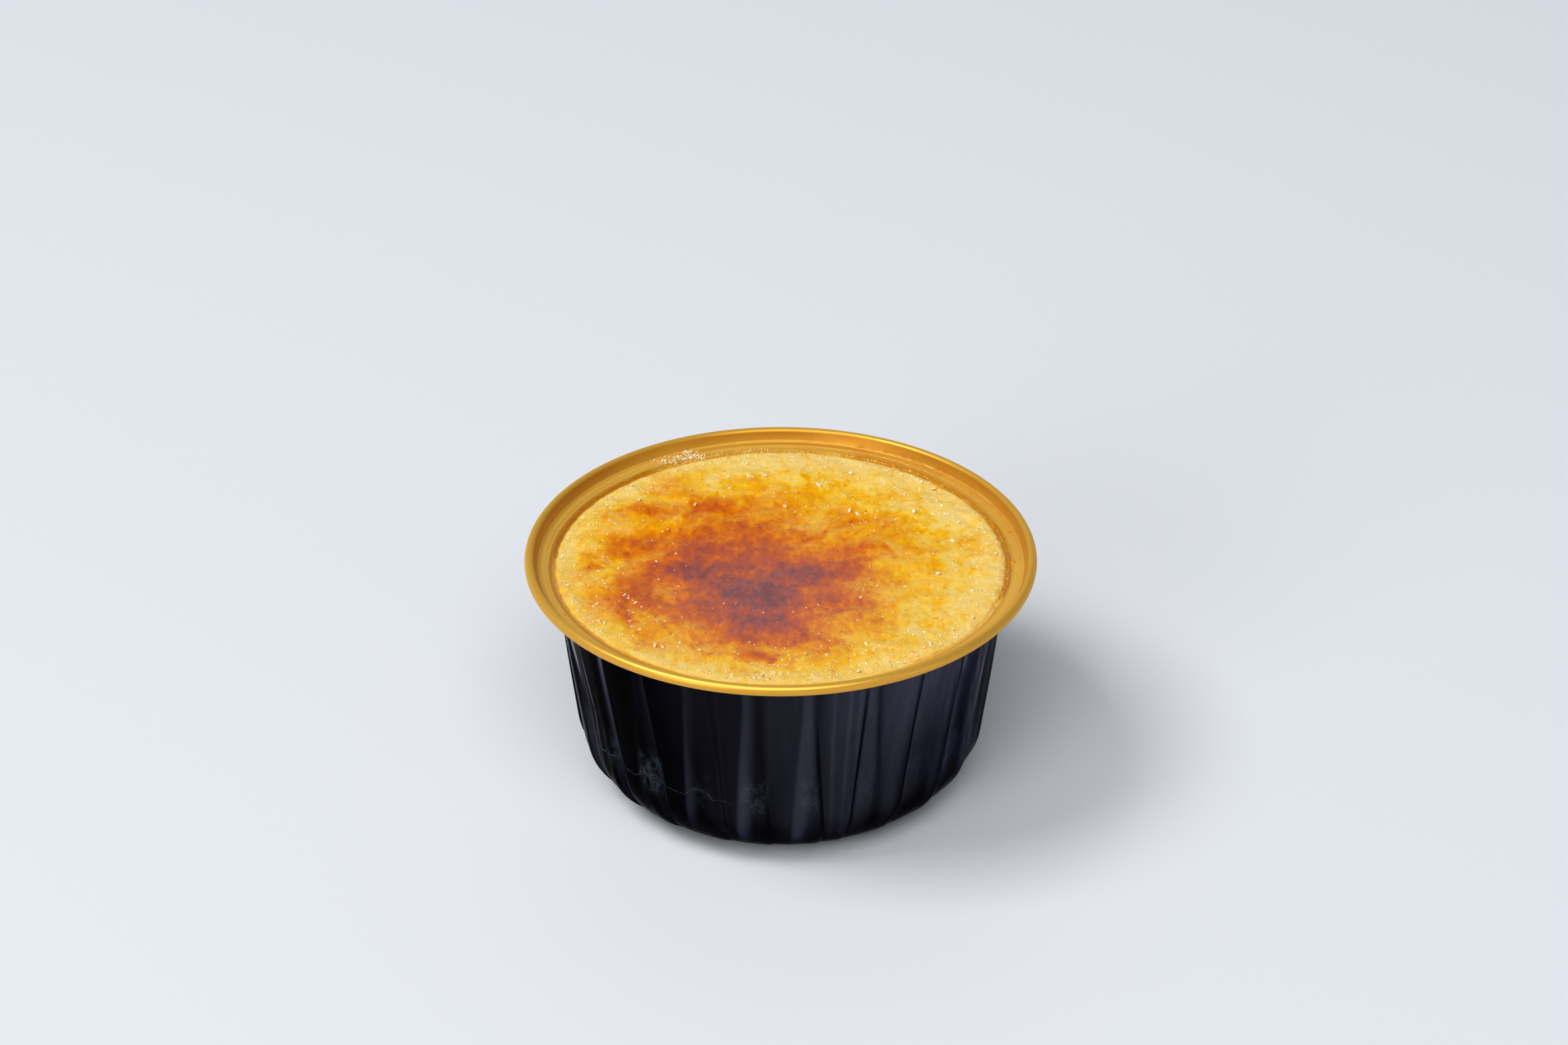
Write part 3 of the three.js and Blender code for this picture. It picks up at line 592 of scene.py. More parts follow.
def refined(points, step):
    """The same line with points no further apart than a step."""
    made = [points[0]]
    for start, end in zip(points, points[1:]):
        parts = max(1, math.ceil(math.hypot(end[0] - start[0], end[1] - start[1]) / step))
        made += [(mix(start[0], end[0], i / parts), mix(start[1], end[1], i / parts)) for i in range(1, parts + 1)]
    return made


def ledge_line(r):
    return sum(rise * bell(r, middle, width) for middle, width, rise in LEDGE_LINES)


def cup_stations():
    """All stations of the cup, and how many of them, from the start, are black."""
    outside = bowl_stations()
    inside = [(*s[:5], FOIL) for s in reversed(outside)]
    plain = lambda points: [(r, z, 0, 0, CUP_HEIGHT, 0) for r, z in points]
    roll = arc(BEAD_MIDDLE, BEAD_HALF_WIDTH, BEAD_HALF_HEIGHT, ROLL_FROM, ROLL_TO, ROLL_STEPS)
    under = skin(FOIL)
    inner = [(r, z + ledge_line(r)) for r, z in reversed(refined(skin(0), SKIN_STEP))]
    return outside + plain(under) + plain(roll) + plain(inner) + inside, len(outside) + len(under)


def rub_lines():
    """Two thin scratches, the upper one broken, as ribbons just above the lacquer."""
    at, heights = np.array(RUB_LINE).T
    points, faces, strengths = [], [], []
    for line, (first, last, lift) in enumerate([(at[0], at[-1], 0), *RUB_AGAIN]):
        degrees = np.linspace(first, last, RUB_STEPS)
        wander = RUB_WANDER * fractal_noise(degrees, 0 * degrees, 1.7, 3, 95 + line)
        height = np.interp(degrees, at, heights) + lift + wander
        width = RUB_WIDTH * (0.75 + 0.5 * value_noise(degrees / 0.8, 0 * degrees, 98 + line))
        strength = 0.5 + 0.5 * value_noise(degrees / 0.5, 0 * degrees, 99 + line)
        for k in range(RUB_STEPS):
            start = len(points)
            points += [wall_place(degrees[k], height[k] + side * width[k] / 2, RUB_LIFT) for side in (-1, 1)]
            strengths += [strength[k]] * 2
            if k:
                faces.append((start - 2, start, start + 1, start - 1))
    piece = mesh_object("rub_lines", points, faces, [scratch_material()])
    keep_values(piece, scuff=strengths)
    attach(piece, "root")


def sheen(azimuth, height):
    """Painted sheen on the lacquer, its reflections of the surroundings, broad and in bands, and painted shade in
    grooves.
    """
    down = np.clip((SHEEN_HEIGHTS[0] - height) / (SHEEN_HEIGHTS[0] - SHEEN_HEIGHTS[1]), 0, 2)

    def between(values):
        """A value for each height from the values at SHEEN_HEIGHTS."""
        return np.where(down < 1, mix(values[0], values[1], down), mix(values[1], values[2], down - 1))

    table = np.array(PAINTED_SHEEN_BY_AZIMUTH, float)
    total = between([np.interp(azimuth, table[:, 0], table[:, k]) for k in (1, 2, 3)])
    for left, right, soft_left, soft_right, strengths in SHEEN:
        start, end = between(left), between(right)
        inside = plateau(azimuth, start - soft_left, start + soft_left, end - soft_right, end + soft_right)
        total = total + inside * between(strengths)
    above = smoothstep(height, *FOOT_CORNER)
    return np.clip(total * mix(FOOT_SHEEN_GAIN, 1, above) + FOOT_SHEEN * (1 - above), 0, 1)


def bands(azimuth, marks, soft):
    """How strongly marks of (azimuth from, azimuth to, strength) cover an azimuth, with soft ends."""
    total = 0 * azimuth
    for start, end, strength in marks:
        for at in (azimuth - 360, azimuth, azimuth + 360):
            total = total + strength * plateau(at, start - soft, start + soft, end - soft, end + soft)
    return total


def cup_foil():
    stations, black = cup_stations()
    rings = placed(stations)
    count = rings.shape[1]
    points = np.vstack([(0, 0, PANEL_LIFT), rings.reshape(-1, 3), (0, 0, PANEL_LIFT + FOIL)])
    cup = mesh_object("cup_foil", points, swept_faces(len(stations), count), [black_lacquer(), gold_lacquer()])
    gold = np.ones(len(cup.data.polygons), np.int32)
    gold[:black * count] = 0
    cup.data.polygons.foreach_set("material_index", gold)

    azimuth = np.degrees(np.arctan2(points[:, 0], -points[:, 1]))
    radius, height = np.hypot(points[:, 0], points[:, 1]), points[:, 2]
    keep_values(
        cup,
        haze=sheen(azimuth, height),
        scuff=plateau(height, *SCUFF_BAND) * bands(azimuth, SCUFFS, SCUFF_FADE),
        film=film(azimuth, radius),
        shade=rim_shade(azimuth, radius) * (height > RIM_SHADE_FROM),
        matt=plateau(radius, *RIM_MATT),
    )
    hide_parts("cup")
    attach(cup, "root")


def rim_shade(azimuth, radius):
    """How much painted shade darkens the gold on and inside the rim, where it mirrors the crust and itself."""
    total = 0 * radius
    for at, width, strength, start, end in RIM_SHADES:
        there = np.minimum(bands(azimuth, [(start, end, strength)], RIM_SHADE_FADE), strength)
        total = total + there * bell(radius, at, width, 4)
    uneven = 0.85 + 0.15 * fractal_noise(np.sin(np.radians(azimuth)), np.cos(np.radians(azimuth)), 0.15, 3, 75)
    return total * uneven * (1 - bands(azimuth, RIM_BRIGHT, RIM_BRIGHT_FADE))


def film(azimuth, radius):
    """How thickly dried caramel lies on the ledge and the inside of the neck."""
    outer = FILM_RADIUS
    for i, (reach, span) in enumerate(FILM_WANDER):
        outer = outer + reach * value_noise(azimuth / span, 0 * azimuth, 70 + i)
    inside = 1 - smoothstep(radius, outer - FILM_EDGE, outer)
    rim = bell(radius, outer - FILM_EDGE, FILM_RIM)
    return bands(azimuth, FILM, FILM_FADE) * (FILM_THICKNESS * inside + FILM_RIM_THICKNESS * rim)


# The custard ----------

def crust_relief(x, y):
    """The wrinkles and hollows of the CAD solid's top, drawn out along its flow."""
    along, across = turned_flat(x, y, CRUST_FLOW)
    return sum(
        height * value_noise(along / length, across / width, i)
        for i, (length, width, height) in enumerate(CRUST_WRINKLES)
    )


def crust_height(x, y):
    """The whole relief: the CAD solid's, ripples finer than its faces, and the froth near the edge."""
    along, across = turned_flat(x, y, CRUST_FLOW)
    ripples = sum(
        height * value_noise(along / length + 0.4 * value_noise(across / 2, along / 2, 9), across / width, 20 + i)
        for i, (length, width, height) in enumerate(RIPPLES)
    )
    froth = smoothstep(np.hypot(x, y), *FROTH_REACH) * FROTH_HEIGHT * fractal_noise(x, y, 0.9, 2, 30)
    return CUSTARD_LEVEL + crust_relief(x, y) + ripples + froth


def mark(x, y, mark_x, mark_y, length, width, heading=0, strength=1):
    """An oval with soft edges at mark_x and mark_y, turned to a heading in degrees."""
    along, across = turned_flat(x - mark_x, y - mark_y, math.radians(heading))
    return strength * np.exp(-(((along / length) ** 2 + (across / width) ** 2) ** 1.5))


def burn(x, y):
    """How far the crust is scorched. The marks' outlines wander, because the places are moved by noise."""
    def moved(place, seed):
        for i, (reach, spacing, octaves) in enumerate(SCORCH_WANDER):
            place = place + reach * fractal_noise(x, y, spacing, octaves, seed + 3 * i)
        return place

    places = moved(x, 50), moved(y, 60)
    return sum(mark(*places, *scorch) for scorch in SCORCHES)


def custard_top(x, y):
    """Rings of the top from its edge inwards, above points round a circle with a radius of 1."""
    wander = fractal_noise(x * NOISE_RING, y * NOISE_RING, 1.5, 3, 40)
    edge = CUSTARD_RADIUS + CUSTARD_EDGE_WANDER * wander
    radius = edge * (1 - (np.arange(TOP_RINGS) / TOP_RINGS)[:, None] ** RING_CROWDING)
    x, y = radius * x, radius * y
    roll = np.sqrt(1 - np.maximum(0, 1 - (edge - radius) / CUSTARD_EDGE_ROLL) ** 2)
    return np.stack([x, y, mix(CUSTARD_EDGE_HEIGHT, crust_height(x, y), roll)], -1)


def custard():
    x, y = around(np.linspace(0, 2 * math.pi, TOP_COLUMNS, endpoint=False))
    sides = [np.stack([r * x, r * y, 0 * x + z], -1) for r, z in CUSTARD_SIDE]
    rings = np.concatenate([np.array(sides), custard_top(x, y)])
    middle = (0, 0, float(crust_height(np.zeros(1), np.zeros(1))[0]))
    points = np.vstack([(0, 0, CUSTARD_SIDE[0][1]), rings.reshape(-1, 3), middle])
    piece = mesh_object("custard_crust", points, swept_faces(len(rings), TOP_COLUMNS), [custard_material()])
    x, y = points[:, 0], points[:, 1]
    keep_values(piece, burn=burn(x, y), from_middle=np.hypot(x, y), middle=mark(x, y, *CLOUDY_AND_SHEENED_MIDDLE))
    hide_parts("custard")
    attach(piece, "root")


# Sugar ----------

def turned(points, turn_x, turn_y, turn_z):
    """Points turned about X, then Y, then Z."""
    turn = Matrix.Rotation(turn_z, 3, "Z") @ Matrix.Rotation(turn_y, 3, "Y") @ Matrix.Rotation(turn_x, 3, "X")
    return points @ np.array(turn).T


def ball(segments, rings):
    """Points of a ball one across: its lower pole, rings of points, and its upper pole."""
    lean = np.radians(np.linspace(-90, 90, rings + 2))[1:-1, None]
    turn = np.radians(np.linspace(0, 360, segments, endpoint=False))[None, :]
    points = np.stack([np.cos(lean) * np.cos(turn), np.cos(lean) * np.sin(turn), np.sin(lean) + 0 * turn], -1)
    return np.vstack([(0, 0, -1), points.reshape(-1, 3), (0, 0, 1)]) / 2


def lump(shape, sides, i, boxiness, uneven):
    """A rounded crystal: a ball drawn out towards a box of the given sides, with an uneven surface."""
    boxed = np.sign(shape) * np.abs(2 * shape) ** (1 - boxiness) / 2
    pushed = (draw(9000 + 97 * i + np.arange(boxed.size)).reshape(boxed.shape) - 0.5) * uneven
    return (boxed + pushed) * sides


COARSE, FINE = (6, 3), (10, 5)  # segments and rings of the lumps
SMALL_SHAPE, LARGE_SHAPE = ball(*COARSE), ball(*FINE)


def named_grain(i):
    """One of the CAD solid's grains."""
    size, reach, turn_x, turn_y, turn_z = draw(500 + 10 * i + np.arange(5))
    long = mix(*GRAIN_SIZE, size)
    x, y = around(math.radians(i * GOLDEN_ANGLE), mix(*GRAIN_REACH, reach**GRAIN_CROWDING))
    tilts = (mix(-GRAIN_TILT, GRAIN_TILT, turn_x), mix(-GRAIN_TILT, GRAIN_TILT, turn_y), turn_z * math.pi)
    points = turned(lump(LARGE_SHAPE, WORN * np.array(GRAIN_SIDES) * long, i, *GRAIN_SHAPE), *tilts)
    return points + (x, y, CUSTARD_LEVEL + crust_relief(x, y) + GRAIN_RISE * long)


def strewn_grain(shape, x, y, height, size, i):
    lean_x, lean_y, turn, wide, high = draw(7000 + 11 * i + np.arange(5))
    sides = size * np.array([STREWN_LENGTH, mix(*STREWN_WIDTH, wide), mix(*STREWN_HEIGHT, high)])
    tilts = (mix(-STREWN_LEAN, STREWN_LEAN, lean_x), mix(-STREWN_LEAN, STREWN_LEAN, lean_y), turn * 2 * math.pi)
    return turned(lump(shape, sides, 100 + i, *STREWN_SHAPE), *tilts) + (x, y, height + STREWN_RISE * size)


def joined(name, lumps, made):
    """One mesh of many closed lumps."""
    faces, start = [], 0
    shapes = {len(SMALL_SHAPE): swept_faces(COARSE[1], COARSE[0]), len(LARGE_SHAPE): swept_faces(FINE[1], FINE[0])}
    for points in lumps:
        faces += [tuple(start + i for i in face) for face in shapes[len(points)]]
        start += len(points)
    piece = mesh_object(name, np.concatenate(lumps), faces, [made])
    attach(piece, "root")
    return piece


def sugar_crystals():
    lumps = [named_grain(i) for i in range(GRAINS)]
    whites = [mix(*GRAIN_WHITE, draw(300 + i)) for i in range(GRAINS)]

    def on_crust(shape, x, y, size, i, white):
        lumps.append(strewn_grain(shape, x, y, float(crust_height(x, y)), size, i))
        whites.append(white)

    for i, (x, y, size) in enumerate(CRYSTALS):
        on_crust(LARGE_SHAPE, x, y, CRYSTAL_WORN * size, i, 1)
        for k in range(NEAR_GRAINS):
            near = mix(-NEAR_REACH, NEAR_REACH, draw(6000 + 9 * i + 2 * k + np.arange(2)))
            on_crust(SMALL_SHAPE, x + near[0], y + near[1], NEAR_SIZE * size, 50 + 4 * i + k, 0.9)
    for i, (x0, y0, x1, y1, count, size) in enumerate(CRYSTAL_ROWS):
        for k in range(2 * count):
            along, off, aside, grown = draw(6500 + 97 * i + 4 * k + np.arange(4))
            share = (k + 1.6 * along) / (2 * count)
            x = mix(x0, x1, share) + mix(-ROW_WIDTH, ROW_WIDTH, off)
            y = mix(y0, y1, share) + mix(-ROW_WIDTH, ROW_WIDTH, aside)
            on_crust(LARGE_SHAPE, x, y, size * mix(*ROW_SIZES, grown**1.5), 900 + 40 * i + k, 0.8)
    for i in range(SMALL_GRAINS):
        reach, turn, size, keep, white = draw(20000 + 5 * i + np.arange(5))
        x, y = around(turn * 2 * math.pi, mix(*SMALL_GRAIN_REACH, reach**2.4))
        patch = 0.5 + 0.5 * float(fractal_noise(x, y, SMALL_GRAIN_PATCHES, 2, 80))
        if keep < (0.2 + patch) * (1 - SCORCH_CLEARS * smoothstep(burn(x, y), *CLEARED_AT)):
            on_crust(SMALL_SHAPE, x, y, mix(*SMALL_GRAIN_SIZE, size**2.2), 1400 + i, white)
    for heap, (azimuths, distances, count, white) in enumerate(HEAPS):
        for k in range(count):
            i = 1000 * heap + k
            along, across, size, whiter = draw(40000 + 4 * i + np.arange(4))
            azimuth, distance = math.radians(mix(*azimuths, along**0.75)), mix(*distances, across)
            place = (*around(azimuth, distance), float(ledge_height(distance)) + 0.05)
            lumps.append(strewn_grain(SMALL_SHAPE, *place, mix(*HEAP_GRAIN_SIZE, size**2), 5000 + i))
            whites.append(white * mix(0.5, 1, whiter))
    sugar = joined("sugar_crystals", lumps, sugar_material())
    x, y = np.concatenate(lumps)[:, :2].T
    whites = np.repeat(whites, [len(points) for points in lumps])
    keep_values(sugar, burn=burn(x, y) * (np.hypot(x, y) < CUSTARD_RADIUS), white=whites)


# Caramel ----------

def ledge_height(distance):
    """Of the foil's upper skin inside the bead."""
    line = np.array(skin(0))
    return np.interp(distance, line[:, 0], line[:, 1])


def caramel_ring():
    """A bubbly band between the custard's edge and the foil. Its section is a closed line of points."""
    azimuth = np.linspace(-180, 180, CARAMEL_COLUMNS, endpoint=False)
    x, y = around(np.radians(azimuth))
    noise = lambda spacing, octaves, seed: fractal_noise(x * NOISE_RING, y * NOISE_RING, spacing, octaves, seed)
    amount = CARAMEL_LEAST + bands(azimuth, CARAMEL, CARAMEL_FADE)
    rough = 0.3 + bands(azimuth, CARAMEL_ROUGH, ROUGH_FADE)
    inner = CARAMEL_INNER - 0.15 * amount + 0.1 * noise(3.2, 2, 90)
    outer = CARAMEL_OUTER + 0.5 * amount + 0.25 * noise(1.3, 3, 91)
    steps = np.linspace(0, 1, CARAMEL_STEPS)[:, None]
    distance = mix(inner, outer, steps)
    px, py = distance * x, distance * y
    inward = np.clip((CUSTARD_RADIUS - distance) / CUSTARD_EDGE_ROLL, 0, 1) ** 0.6
    custard_side = mix(CUSTARD_EDGE_HEIGHT, CUSTARD_LEVEL + crust_relief(px, py), inward)
    base = np.maximum(custard_side, ledge_height(distance)) - CARAMEL_SUNK
    bubbles = np.abs(fractal_noise(px, py, 0.55, 2, 92)) + 0.4 * np.abs(value_noise(px / 0.25, py / 0.25, 93))
    bulge = np.sin(np.pi * steps) ** 0.7 * (0.12 + 0.1 * amount + 0.22 * rough * bubbles)
    top = np.stack([px, py, base + bulge], -1)
    under = np.stack([px, py, base - CARAMEL_DEPTH], -1)[::-1]
    points = np.concatenate([top, under]).reshape(-1, 3)
    faces = grid_faces(2 * CARAMEL_STEPS, CARAMEL_COLUMNS, closed=True)
    piece = mesh_object("caramel_ring", points, faces, [caramel_material()])
    tone = mix(0.1, 0.74, np.clip(amount, 0, 1)) * mix(0.75, 1, steps) - 0.25 * rough * bubbles
    keep_values(piece, tone=np.concatenate([tone, tone[::-1]]))
    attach(piece, "root")


def caramel_drops():
    lumps, tones = [], []
    for azimuth, distance, width, tone in DROPS:
        height = float(ledge_height(distance)) if distance < BEAD_FROM else bead_height(distance)
        place = (*around(math.radians(azimuth), distance), height)
        lumps.append(LARGE_SHAPE * (width, width, DROP_FLATNESS * width) + place)
        tones += [tone] * len(LARGE_SHAPE)
    keep_values(joined("caramel_drops", lumps, caramel_material()), tone=tones)


def bead_height(distance):
    """Of a drop on the bead."""
    across = (distance - BEAD_MIDDLE[0]) / BEAD_HALF_WIDTH
    return BEAD_MIDDLE[1] + BEAD_HALF_HEIGHT * math.sqrt(max(0, 1 - across**2)) - DROP_SUNK


def burnt_specks():
    lumps = []
    for x, y, size in SPECKS:
        lumps.append(LARGE_SHAPE * (size, size, 0.5 * size) + (x, y, float(crust_height(x, y)) + 0.02))
    joined("burnt_specks", lumps, char_material())


# Materials ----------

class Nodes:
    """Nodes of a material or world. Sockets are passed on as the inputs of later nodes."""

    def __init__(self, made, shader):
        self.made = made
        self.made.use_nodes = True
        self.tree = self.made.node_tree
        self.shader = self.tree.nodes[shader]

    def give(self, node, inputs):
        for key, value in inputs.items():
            if isinstance(value, bpy.types.NodeSocket):
                self.tree.links.new(value, node.inputs[key])
            else:
                node.inputs[key].default_value = value

    def node(self, kind, inputs, **settings):
        node = self.tree.nodes.new(kind)
        for key, value in settings.items():
            setattr(node, key, value)
        self.give(node, inputs)
        return node

    def shade(self, **inputs):
        """Set inputs of the shader, with _ for the spaces in their names."""
        self.give(self.shader, {key.replace("_", " "): value for key, value in inputs.items()})

    def value(self, name):
        return self.node("ShaderNodeAttribute", {}, attribute_name=name).outputs["Fac"]

    def math(self, operation, a, b=0.0, c=0.0):
        return self.node("ShaderNodeMath", {0: a, 1: b, 2: c}, operation=operation).outputs[0]

    def times(self, a, b):
        return self.math("MULTIPLY", a, b)

    def scaled(self, a, by, plus):
        return self.math("MULTIPLY_ADD", a, by, plus)

    def varied(self, noise, middle, by, plus):
        """What noise adds where it is above its middle, and takes away where it is below."""
        return self.scaled(self.math("SUBTRACT", noise, middle), by, plus)

    def places(self, size=(1, 1, 1), heading=0.0):
        """Coordinates in which the given size, in millimetres, is 1, turned to a heading about Z."""
        place = self.node("ShaderNodeTexCoord", {}).outputs["Object"]
        turned = self.node("ShaderNodeMapping", {"Vector": place, "Rotation": (0, 0, -heading)})
        scale = tuple(1 / (MM * s) for s in size)
        return self.node("ShaderNodeMapping", {"Vector": turned.outputs[0], "Scale": scale}).outputs[0]

    def noise(self, size, detail, roughness=0.5, distortion=0.0, heading=0.0):
        """Noise with spots of about the given size, in millimetres."""
        inputs = {"Vector": self.places(size, heading), "Scale": 1.0, "Detail": detail, "Roughness": roughness}
        return self.node("ShaderNodeTexNoise", {**inputs, "Distortion": distortion}).outputs["Fac"]

    def ramp(self, factor, stops):
        """Colours or grey levels at positions from 0 to 1."""
        node = self.node("ShaderNodeValToRGB", {"Fac": factor})
        elements = node.color_ramp.elements  # two at first
        while len(elements) < len(stops):
            elements.new(0.5)
        for element, (position, colour) in zip(elements, stops):
            element.position = position
            element.color = (*colour, 1) if isinstance(colour, tuple) else (colour, colour, colour, 1)
        return node.outputs["Color"]

    def blend(self, factor, a, b):
        inputs = {"Factor": factor, 6: a, 7: b}
        return self.node("ShaderNodeMix", inputs, data_type="RGBA").outputs[2]

    def bump(self, height, depth, under=None):
        """A normal for a height from 0 to 1 that stands for a depth in millimetres."""
        inputs = {"Height": height, "Distance": depth * MM}
        if under is not None:
            inputs["Normal"] = under
        return self.node("ShaderNodeBump", inputs).outputs[0]


def material(name):
    return Nodes(bpy.data.materials.new(name), "Principled BSDF")


# The lacquer's own near-black, then painted sheen, up to painted reflections of the bright surroundings in its
# brightest lines.
LACQUER_AND_SHEEN_COLOURS = [(0.0, (0.0046, 0.0044, 0.0064)), (0.45, (0.06, 0.0585, 0.085)), (1.0, (0.42, 0.42, 0.44))]
DUST_COLOUR = (0.14, 0.17, 0.21, 1)
# SHADED_COLOUR is painted shade, where the gold mirrors the dark crust and itself.
GOLD_COLOUR, SHADED_COLOUR, STAIN_COLOUR = (0.84, 0.47, 0.065, 1), (0.42, 0.14, 0.003, 1), (0.5, 0.16, 0.008, 1)
LUSTRE, STAINED_LOSS, MATT_LOSS, SHADED_LOSS = 0.52, 0.25, 0.2, 0.35  # how metallic the gold is, and what it loses
SCRATCH_COLOURS = (0.01, 0.01, 0.014, 1), (0.07, 0.085, 0.11, 1)


def black_lacquer():
    lacquer = material("black_lacquer")
    grain = lacquer.noise((0.5, 0.5, 2.5), 3)
    streaks = lacquer.noise((1.3, 1.3, 14), 3, 0.6)
    dust = lacquer.noise((0.09, 0.09, 0.11), 2, 0.6)
    patches = lacquer.noise((1.2, 1.2, 2.2), 3, 0.6)
    covered = lacquer.times(lacquer.value("scuff"), lacquer.ramp(patches, [(0.35, 0.0), (0.65, 0.9)]))
    dusty = lacquer.times(covered, lacquer.ramp(dust, [(0.48, 0.04), (0.66, 0.9)]))
    # Painted sheen, in soft vertical streaks.
    varied = lacquer.ramp(streaks, [(0.3, 0.84), (0.7, 1.14)])
    haze = lacquer.times(lacquer.value("haze"), varied)
    clear = lacquer.ramp(haze, LACQUER_AND_SHEEN_COLOURS)
    lacquer.shade(
        Base_Color=lacquer.blend(dusty, clear, DUST_COLOUR),
        Metallic=lacquer.scaled(dusty, -0.8, 0.95),
        Roughness=lacquer.ramp(grain, [(0.3, 0.28), (0.7, 0.33)]),
        Specular_IOR_Level=0.1,
        Specular_Tint=(0.25, 0.25, 0.25, 1),
        Normal=lacquer.bump(grain, 0.001),
    )
    return lacquer.made


def scratch_material():
    scratch = material("scratch")
    grain = scratch.noise((0.12, 0.12, 0.12), 2)
    bright = scratch.times(scratch.value("scuff"), scratch.ramp(grain, [(0.4, 0.2), (0.6, 1.0)]))
    scratch.shade(
        Base_Color=scratch.blend(bright, *SCRATCH_COLOURS),
        Roughness=scratch.ramp(grain, [(0.3, 0.4), (0.7, 0.6)]),
        Normal=scratch.bump(grain, 0.01),
    )
    return scratch.made


def gold_lacquer():
    gold = material("gold_lacquer")
    grain = gold.noise((1.3, 1.3, 1.3), 2)
    stains = gold.noise((0.9, 0.9, 0.9), 4, 0.65)
    stained = gold.times(gold.value("film"), gold.ramp(stains, [(0.3, 0.55), (0.65, 1.0)]))
    turn = gold.node("ShaderNodeTexGradient", {"Vector": gold.places()}, gradient_type="RADIAL").outputs["Fac"]
    crimp = gold.math("SINE", gold.times(turn, 2 * math.pi * CRIMPS))
    uneven = gold.times(crimp, gold.ramp(grain, [(0.4, 0.2), (0.6, 1.0)]))
    shade = gold.value("shade")
    # Painted shade of the gold inside the rim.
    lacquered = gold.blend(shade, GOLD_COLOUR, SHADED_COLOUR)
    lustre = gold.scaled(gold.value("matt"), -MATT_LOSS, gold.scaled(stained, -STAINED_LOSS, LUSTRE))
    gold.shade(
        Base_Color=gold.blend(stained, lacquered, STAIN_COLOUR),
        Metallic=gold.scaled(shade, -SHADED_LOSS, lustre),
        Roughness=gold.ramp(grain, [(0.35, 0.33), (0.65, 0.37)]),
        Specular_Tint=(1.0, 0.65, 0.2, 1),
        Normal=gold.bump(gold.scaled(uneven, 0.5, 0.5), 0.001),
    )
    return gold.made


def sugar_material():
    sugar = material("sugar")
    cloud = sugar.noise((0.3, 0.3, 0.3), 2)
    burnt = sugar.value("burn")
    clear = sugar.ramp(burnt, [(0.1, (0.92, 0.64, 0.16)), (0.4, (0.86, 0.44, 0.05)), (0.9, (0.5, 0.16, 0.05))])
    pale = sugar.ramp(burnt, [(0.15, (1.0, 0.96, 0.82)), (0.5, (1.0, 0.82, 0.5)), (0.9, (0.9, 0.55, 0.3))])
    whitened = sugar.times(sugar.value("white"), sugar.ramp(cloud, [(0.36, 0.35), (0.55, 1.0)]))
    sugar.shade(
        Base_Color=sugar.blend(whitened, clear, pale),
        Roughness=sugar.ramp(cloud, [(0.3, 0.06), (0.7, 0.16)]),
        IOR=1.5,
        Normal=sugar.bump(cloud, 0.03),
    )
    return sugar.made


def caramel_material():
    caramel = material("caramel")
    grain = caramel.noise((0.4, 0.4, 0.4), 3, 0.6)
    tone = caramel.varied(grain, 0.5, 0.5, caramel.value("tone"))
    caramel.shade(
        Base_Color=caramel.ramp(tone, CARAMEL_COLOURS),
        Roughness=caramel.ramp(grain, [(0.3, 0.06), (0.7, 0.14)]),
        IOR=1.48,
        Specular_Tint=(1.0, 0.75, 0.4, 1),
        Normal=caramel.bump(grain, 0.05),
    )
    return caramel.made


def char_material():
    char = material("char")
    grain = char.noise((0.1, 0.1, 0.1), 2)
    char.shade(
        Base_Color=char.ramp(grain, [(0.3, (0.012, 0.006, 0.01)), (0.7, (0.05, 0.02, 0.02))]),
        Roughness=char.ramp(grain, [(0.3, 0.35), (0.7, 0.6)]),
        Normal=char.bump(grain, 0.02),
    )
    return char.made


# Colours of the crust from bare custard to burnt sugar, in the scorched middle, where the bluish mauve of the
# darkest stops is partly painted sheen of the sky on the glassy caramel.
BURN_AND_SHEEN_COLOURS = [
    (0.00, (0.89, 0.62, 0.170)),
    (0.06, (0.90, 0.58, 0.085)),
    (0.15, (0.90, 0.49, 0.035)),
    (0.24, (0.86, 0.38, 0.032)),
    (0.36, (0.76, 0.245, 0.032)),
    (0.50, (0.60, 0.135, 0.042)),
    (0.66, (0.45, 0.102, 0.060)),
    (0.82, (0.30, 0.085, 0.088)),
    (1.00, (0.17, 0.072, 0.090)),
]
# The same away from the scorched middle, where the sugar is clear and no painted sheen is in the darker stops.
MARK_COLOURS = BURN_AND_SHEEN_COLOURS[:2] + [
    (0.15, (0.88, 0.46, 0.004)),
    (0.24, (0.84, 0.36, 0.001)),
    (0.36, (0.76, 0.255, 0.001)),
    (0.50, (0.67, 0.160, 0.002)),
    (0.66, (0.54, 0.095, 0.008)),
    (1.00, (0.36, 0.06, 0.03)),
]
# From the pale froth to thick caramel.
CARAMEL_COLOURS = [
    (0.00, (0.84, 0.60, 0.20)),
    (0.25, (0.76, 0.40, 0.05)),
    (0.50, (0.56, 0.22, 0.004)),
    (0.75, (0.36, 0.11, 0.002)),
    (1.00, (0.09, 0.02, 0.006)),
]
# By the distance from the axis, as a share of the custard's radius.
FROTH_SPREAD = [(0.88, 0.0), (0.985, 0.6)]
DOT_SPREAD = [(0.76, 0.0), (0.95, 1.0)]
FROTH_COLOUR, DOT_COLOUR = (0.84, 0.60, 0.15, 1), (0.97, 0.84, 0.46, 1)
CLOUD_AND_SHEEN_COLOUR, RIDGE_COLOUR = (0.46, 0.17, 0.09, 1), (0.86, 0.54, 0.11, 1)
CLOUD_AND_SHEEN_SHARE = 0.16


